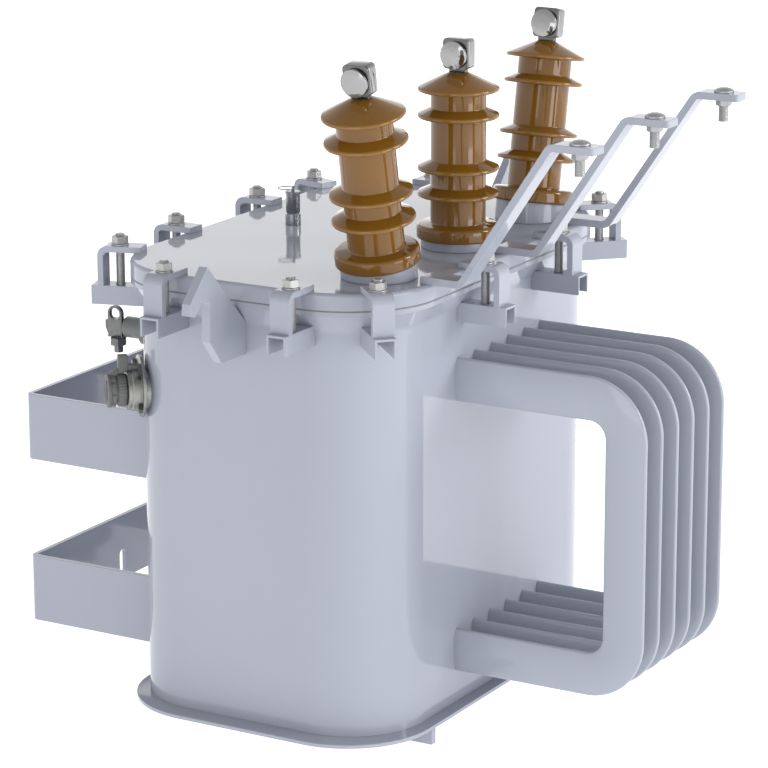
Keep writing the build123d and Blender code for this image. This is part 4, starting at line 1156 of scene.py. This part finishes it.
class TRANSFORMER_OT_tap_changer(bpy.types.Operator):
    """Make the tap changer: neck, housing, guard, bolts, collar and ribbed knob with a pointer"""

    bl_idname = "transformer.tap_changer"
    bl_label = "Tap changer"

    def execute(self, context):
        turn = radians(TAP_TURN)
        outward = Vector((-sin(turn), cos(turn), 0))
        wall = Vector((-CORNER_X, CORNER_Y, TAP_Z)) + outward * TANK_CORNER
        place = frame_of(wall, outward, (-cos(turn), -sin(turn), 0))
        turns = context.scene.transformer_details.turns

        neck = turned(TAP_NECK, turns, loop=True)
        add_piece(context, "selector_neck", neck.at(place), "tap_metal", ("tap_changer_seat",))

        housing = turned(TAP_HOUSING, turns, loop=True)
        angles = [2 * pi * i / turns for i in range(turns)]
        flange = [
            Vector((FLANGE_RADIUS * cos(a), FLANGE_RADIUS * sin(a) + FLANGE_RISE)) for a in angles
        ]
        housing.add(Form().slab(flange, 4, 8, 0.8))
        guard = Form()
        for reach, height, width in GUARD_BARS:
            bar = rectangle((reach[0], height[0]), (reach[1], height[1]), 0.8, 1.2)
            guard.add(Form().slab(bar, -width / 2, width / 2, 0.7), ON_EDGE)
        nodes = ("tap_changer_housing",)
        add_piece(context, "selector_housing", housing.at(place), "tap_metal", nodes)
        add_piece(context, "selector_guard", guard.at(place), "tap_metal", finish="tap_knob")

        mesh = softened("tap_changer_bolts", 0.0006, 3)
        for point in mesh.vertices:
            point.co.z += TAP_BOLT_RISE * MM
        add_piece(context, "selector_bolts", mesh, "zinc", ("tap_changer_bolts",), "dark_metal")

        collar = turned(TAP_COLLAR, turns, loop=True)
        add_piece(context, "selector_collar", collar.at(place), "tap_metal")

        def gripped(level, angle):
            radius, _, depth, rib = level
            groove = max(0.0, cos(KNOB_GROOVES * angle)) ** 3
            ribbed = rib * (0.5 - 0.5 * cos(KNOB_RIBS * angle))
            return radius - GROOVE_DEPTH * depth * groove - ribbed

        knob = Form().turn(KNOB_LEVELS, KNOB_STEPS, reach=gripped)
        face = turned(KNOB_FACE, turns)
        face.add(Form().slab(rectangle((-2, -13), (2, 13), 1.9), 48, 50.8, 0.8))
        wing = rounded(
            [(36, 16, 0.8), (48, 16, 0.8), (48, 21.6, 0.8), (36, 29.5, 0.8)], closed=True
        )
        face.add(Form().slab(wing, -4, 4, 0.6), ON_EDGE)
        add_piece(context, "selector_face", face.at(place), "tap_knob", body="tap_knob")
        nodes = ("tap_changer_knob",)
        add_piece(context, "selector_knob", knob.at(place), "tap_knob", nodes, body="tap_knob")
        return {"FINISHED"}


class TRANSFORMER_OT_stage(bpy.types.Operator):
    """Set up the floor, the studio lights and the camera of the photograph"""

    bl_idname = "transformer.stage"
    bl_label = "Stage"

    def execute(self, context):
        scene = context.scene
        view = scene.transformer_view
        level = cos(view.elevation)
        ahead = -cos(view.azimuth) * level
        back = Vector((sin(view.azimuth) * level, ahead, sin(view.elevation)))
        right = Vector((0, 0, 1)).cross(back).normalized()
        up = back.cross(right)
        axes = Matrix((right, up, back)).transposed() @ Matrix.Rotation(view.roll, 3, "Z")
        camera = bpy.data.objects.new("photo_camera", bpy.data.cameras.new("photo_camera"))
        place = Matrix.Translation(Vector(CAMERA_TARGET) + back * view.distance)
        camera.matrix_world = place @ axes.to_4x4()
        camera.data.lens = view.focal
        camera.data.sensor_width = SENSOR
        camera.data.shift_x, camera.data.shift_y = CAMERA_SHIFT
        camera.data.clip_start = 0.05
        camera.data.clip_end = 100
        scene.collection.objects.link(camera)
        scene.camera = camera

        floor_mesh = bpy.data.meshes.new("studio_floor")
        signs = ((-1, -1), (1, -1), (1, 1), (-1, 1))
        corners = [(FLOOR_HALF * x, FLOOR_HALF * y, 0) for x, y in signs]
        floor_mesh.from_pydata(corners, [], [(0, 1, 2, 3)])
        floor = bpy.data.objects.new("studio_floor", floor_mesh)
        scene.collection.objects.link(floor)
        paper = Finish((0.9, 0.9, 0.9), 0.9)
        paper.material.name = "studio_floor"
        paper.mottle((0.92, 0.92, 0.92), 0.5, levels=(0.3, 0.7), noise=(0.8, 3))
        paper.shader.inputs["Emission Color"].default_value = (1, 1, 1, 1)
        paper.shader.inputs["Emission Strength"].default_value = FLOOR_GLOW
        floor_mesh.materials.append(paper.material)

        for name, place, aim, size, watts in LIGHTS:
            lamp = bpy.data.lights.new(name, "AREA")
            lamp.shape = "SQUARE"
            lamp.size = size
            lamp.energy = watts
            light = bpy.data.objects.new(name, lamp)
            facing = (Vector(aim) - Vector(place)).to_track_quat("-Z", "Y").to_matrix().to_4x4()
            light.matrix_world = Matrix.Translation(place) @ facing
            scene.collection.objects.link(light)

        # The sky is brightest at the horizon and falls off towards the zenith
        world = bpy.data.worlds.new("studio")
        world.use_nodes = True
        nodes, links = world.node_tree.nodes, world.node_tree.links
        sky = nodes["Background"]
        sky.inputs["Color"].default_value = (1, 1, 1, 1)
        height = nodes.new("ShaderNodeSeparateXYZ")
        links.new(nodes.new("ShaderNodeTexCoord").outputs["Generated"], height.inputs["Vector"])
        fall = nodes.new("ShaderNodeMapRange")
        fall.inputs["To Min"].default_value = SKY_HORIZON
        fall.inputs["To Max"].default_value = SKY_ZENITH
        links.new(height.outputs["Z"], fall.inputs["Value"])
        links.new(fall.outputs["Result"], sky.inputs["Strength"])
        scene.world = world
        scene.view_settings.view_transform = "Standard"
        return {"FINISHED"}


class TRANSFORMER_PT_panel(bpy.types.Panel):
    """Buttons and settings for finishing the transformer"""

    bl_label = "Transformer"
    bl_idname = "TRANSFORMER_PT_panel"
    bl_space_type = "VIEW_3D"
    bl_region_type = "UI"
    bl_category = "Transformer"

    def draw(self, context):
        for operator in OPERATORS:
            self.layout.operator(operator.bl_idname)
        for group in ("transformer_colours", "transformer_details", "transformer_view"):
            settings = getattr(context.scene, group)
            for name in settings.__annotations__:
                self.layout.prop(settings, name)


SETTINGS = (TransformerColours, TransformerDetails, TransformerView)
OPERATORS = (
    TRANSFORMER_OT_stage,
    TRANSFORMER_OT_finish_nodes,
    TRANSFORMER_OT_plate_work,
    TRANSFORMER_OT_insulators,
    TRANSFORMER_OT_conductor_clamps,
    TRANSFORMER_OT_rim_fasteners,
    TRANSFORMER_OT_arrester_fasteners,
    TRANSFORMER_OT_relief_valve,
    TRANSFORMER_OT_low_voltage,
    TRANSFORMER_OT_tap_changer,
)


def register():
    for group in SETTINGS + OPERATORS + (TRANSFORMER_PT_panel,):
        bpy.utils.register_class(group)
    bpy.types.Scene.transformer_colours = PointerProperty(type=TransformerColours)
    bpy.types.Scene.transformer_details = PointerProperty(type=TransformerDetails)
    bpy.types.Scene.transformer_view = PointerProperty(type=TransformerView)


def unregister():
    del bpy.types.Scene.transformer_view
    del bpy.types.Scene.transformer_details
    del bpy.types.Scene.transformer_colours
    for group in reversed(SETTINGS + OPERATORS + (TRANSFORMER_PT_panel,)):
        bpy.utils.unregister_class(group)


def main():
    """Make every piece in order."""
    register()
    bpy.ops.transformer.stage()
    bpy.ops.transformer.finish_nodes()
    bpy.ops.transformer.plate_work()
    bpy.ops.transformer.insulators()
    bpy.ops.transformer.conductor_clamps()
    bpy.ops.transformer.rim_fasteners()
    bpy.ops.transformer.arrester_fasteners()
    bpy.ops.transformer.relief_valve()
    bpy.ops.transformer.low_voltage()
    bpy.ops.transformer.tap_changer()


if __name__ == "__main__":
    main()
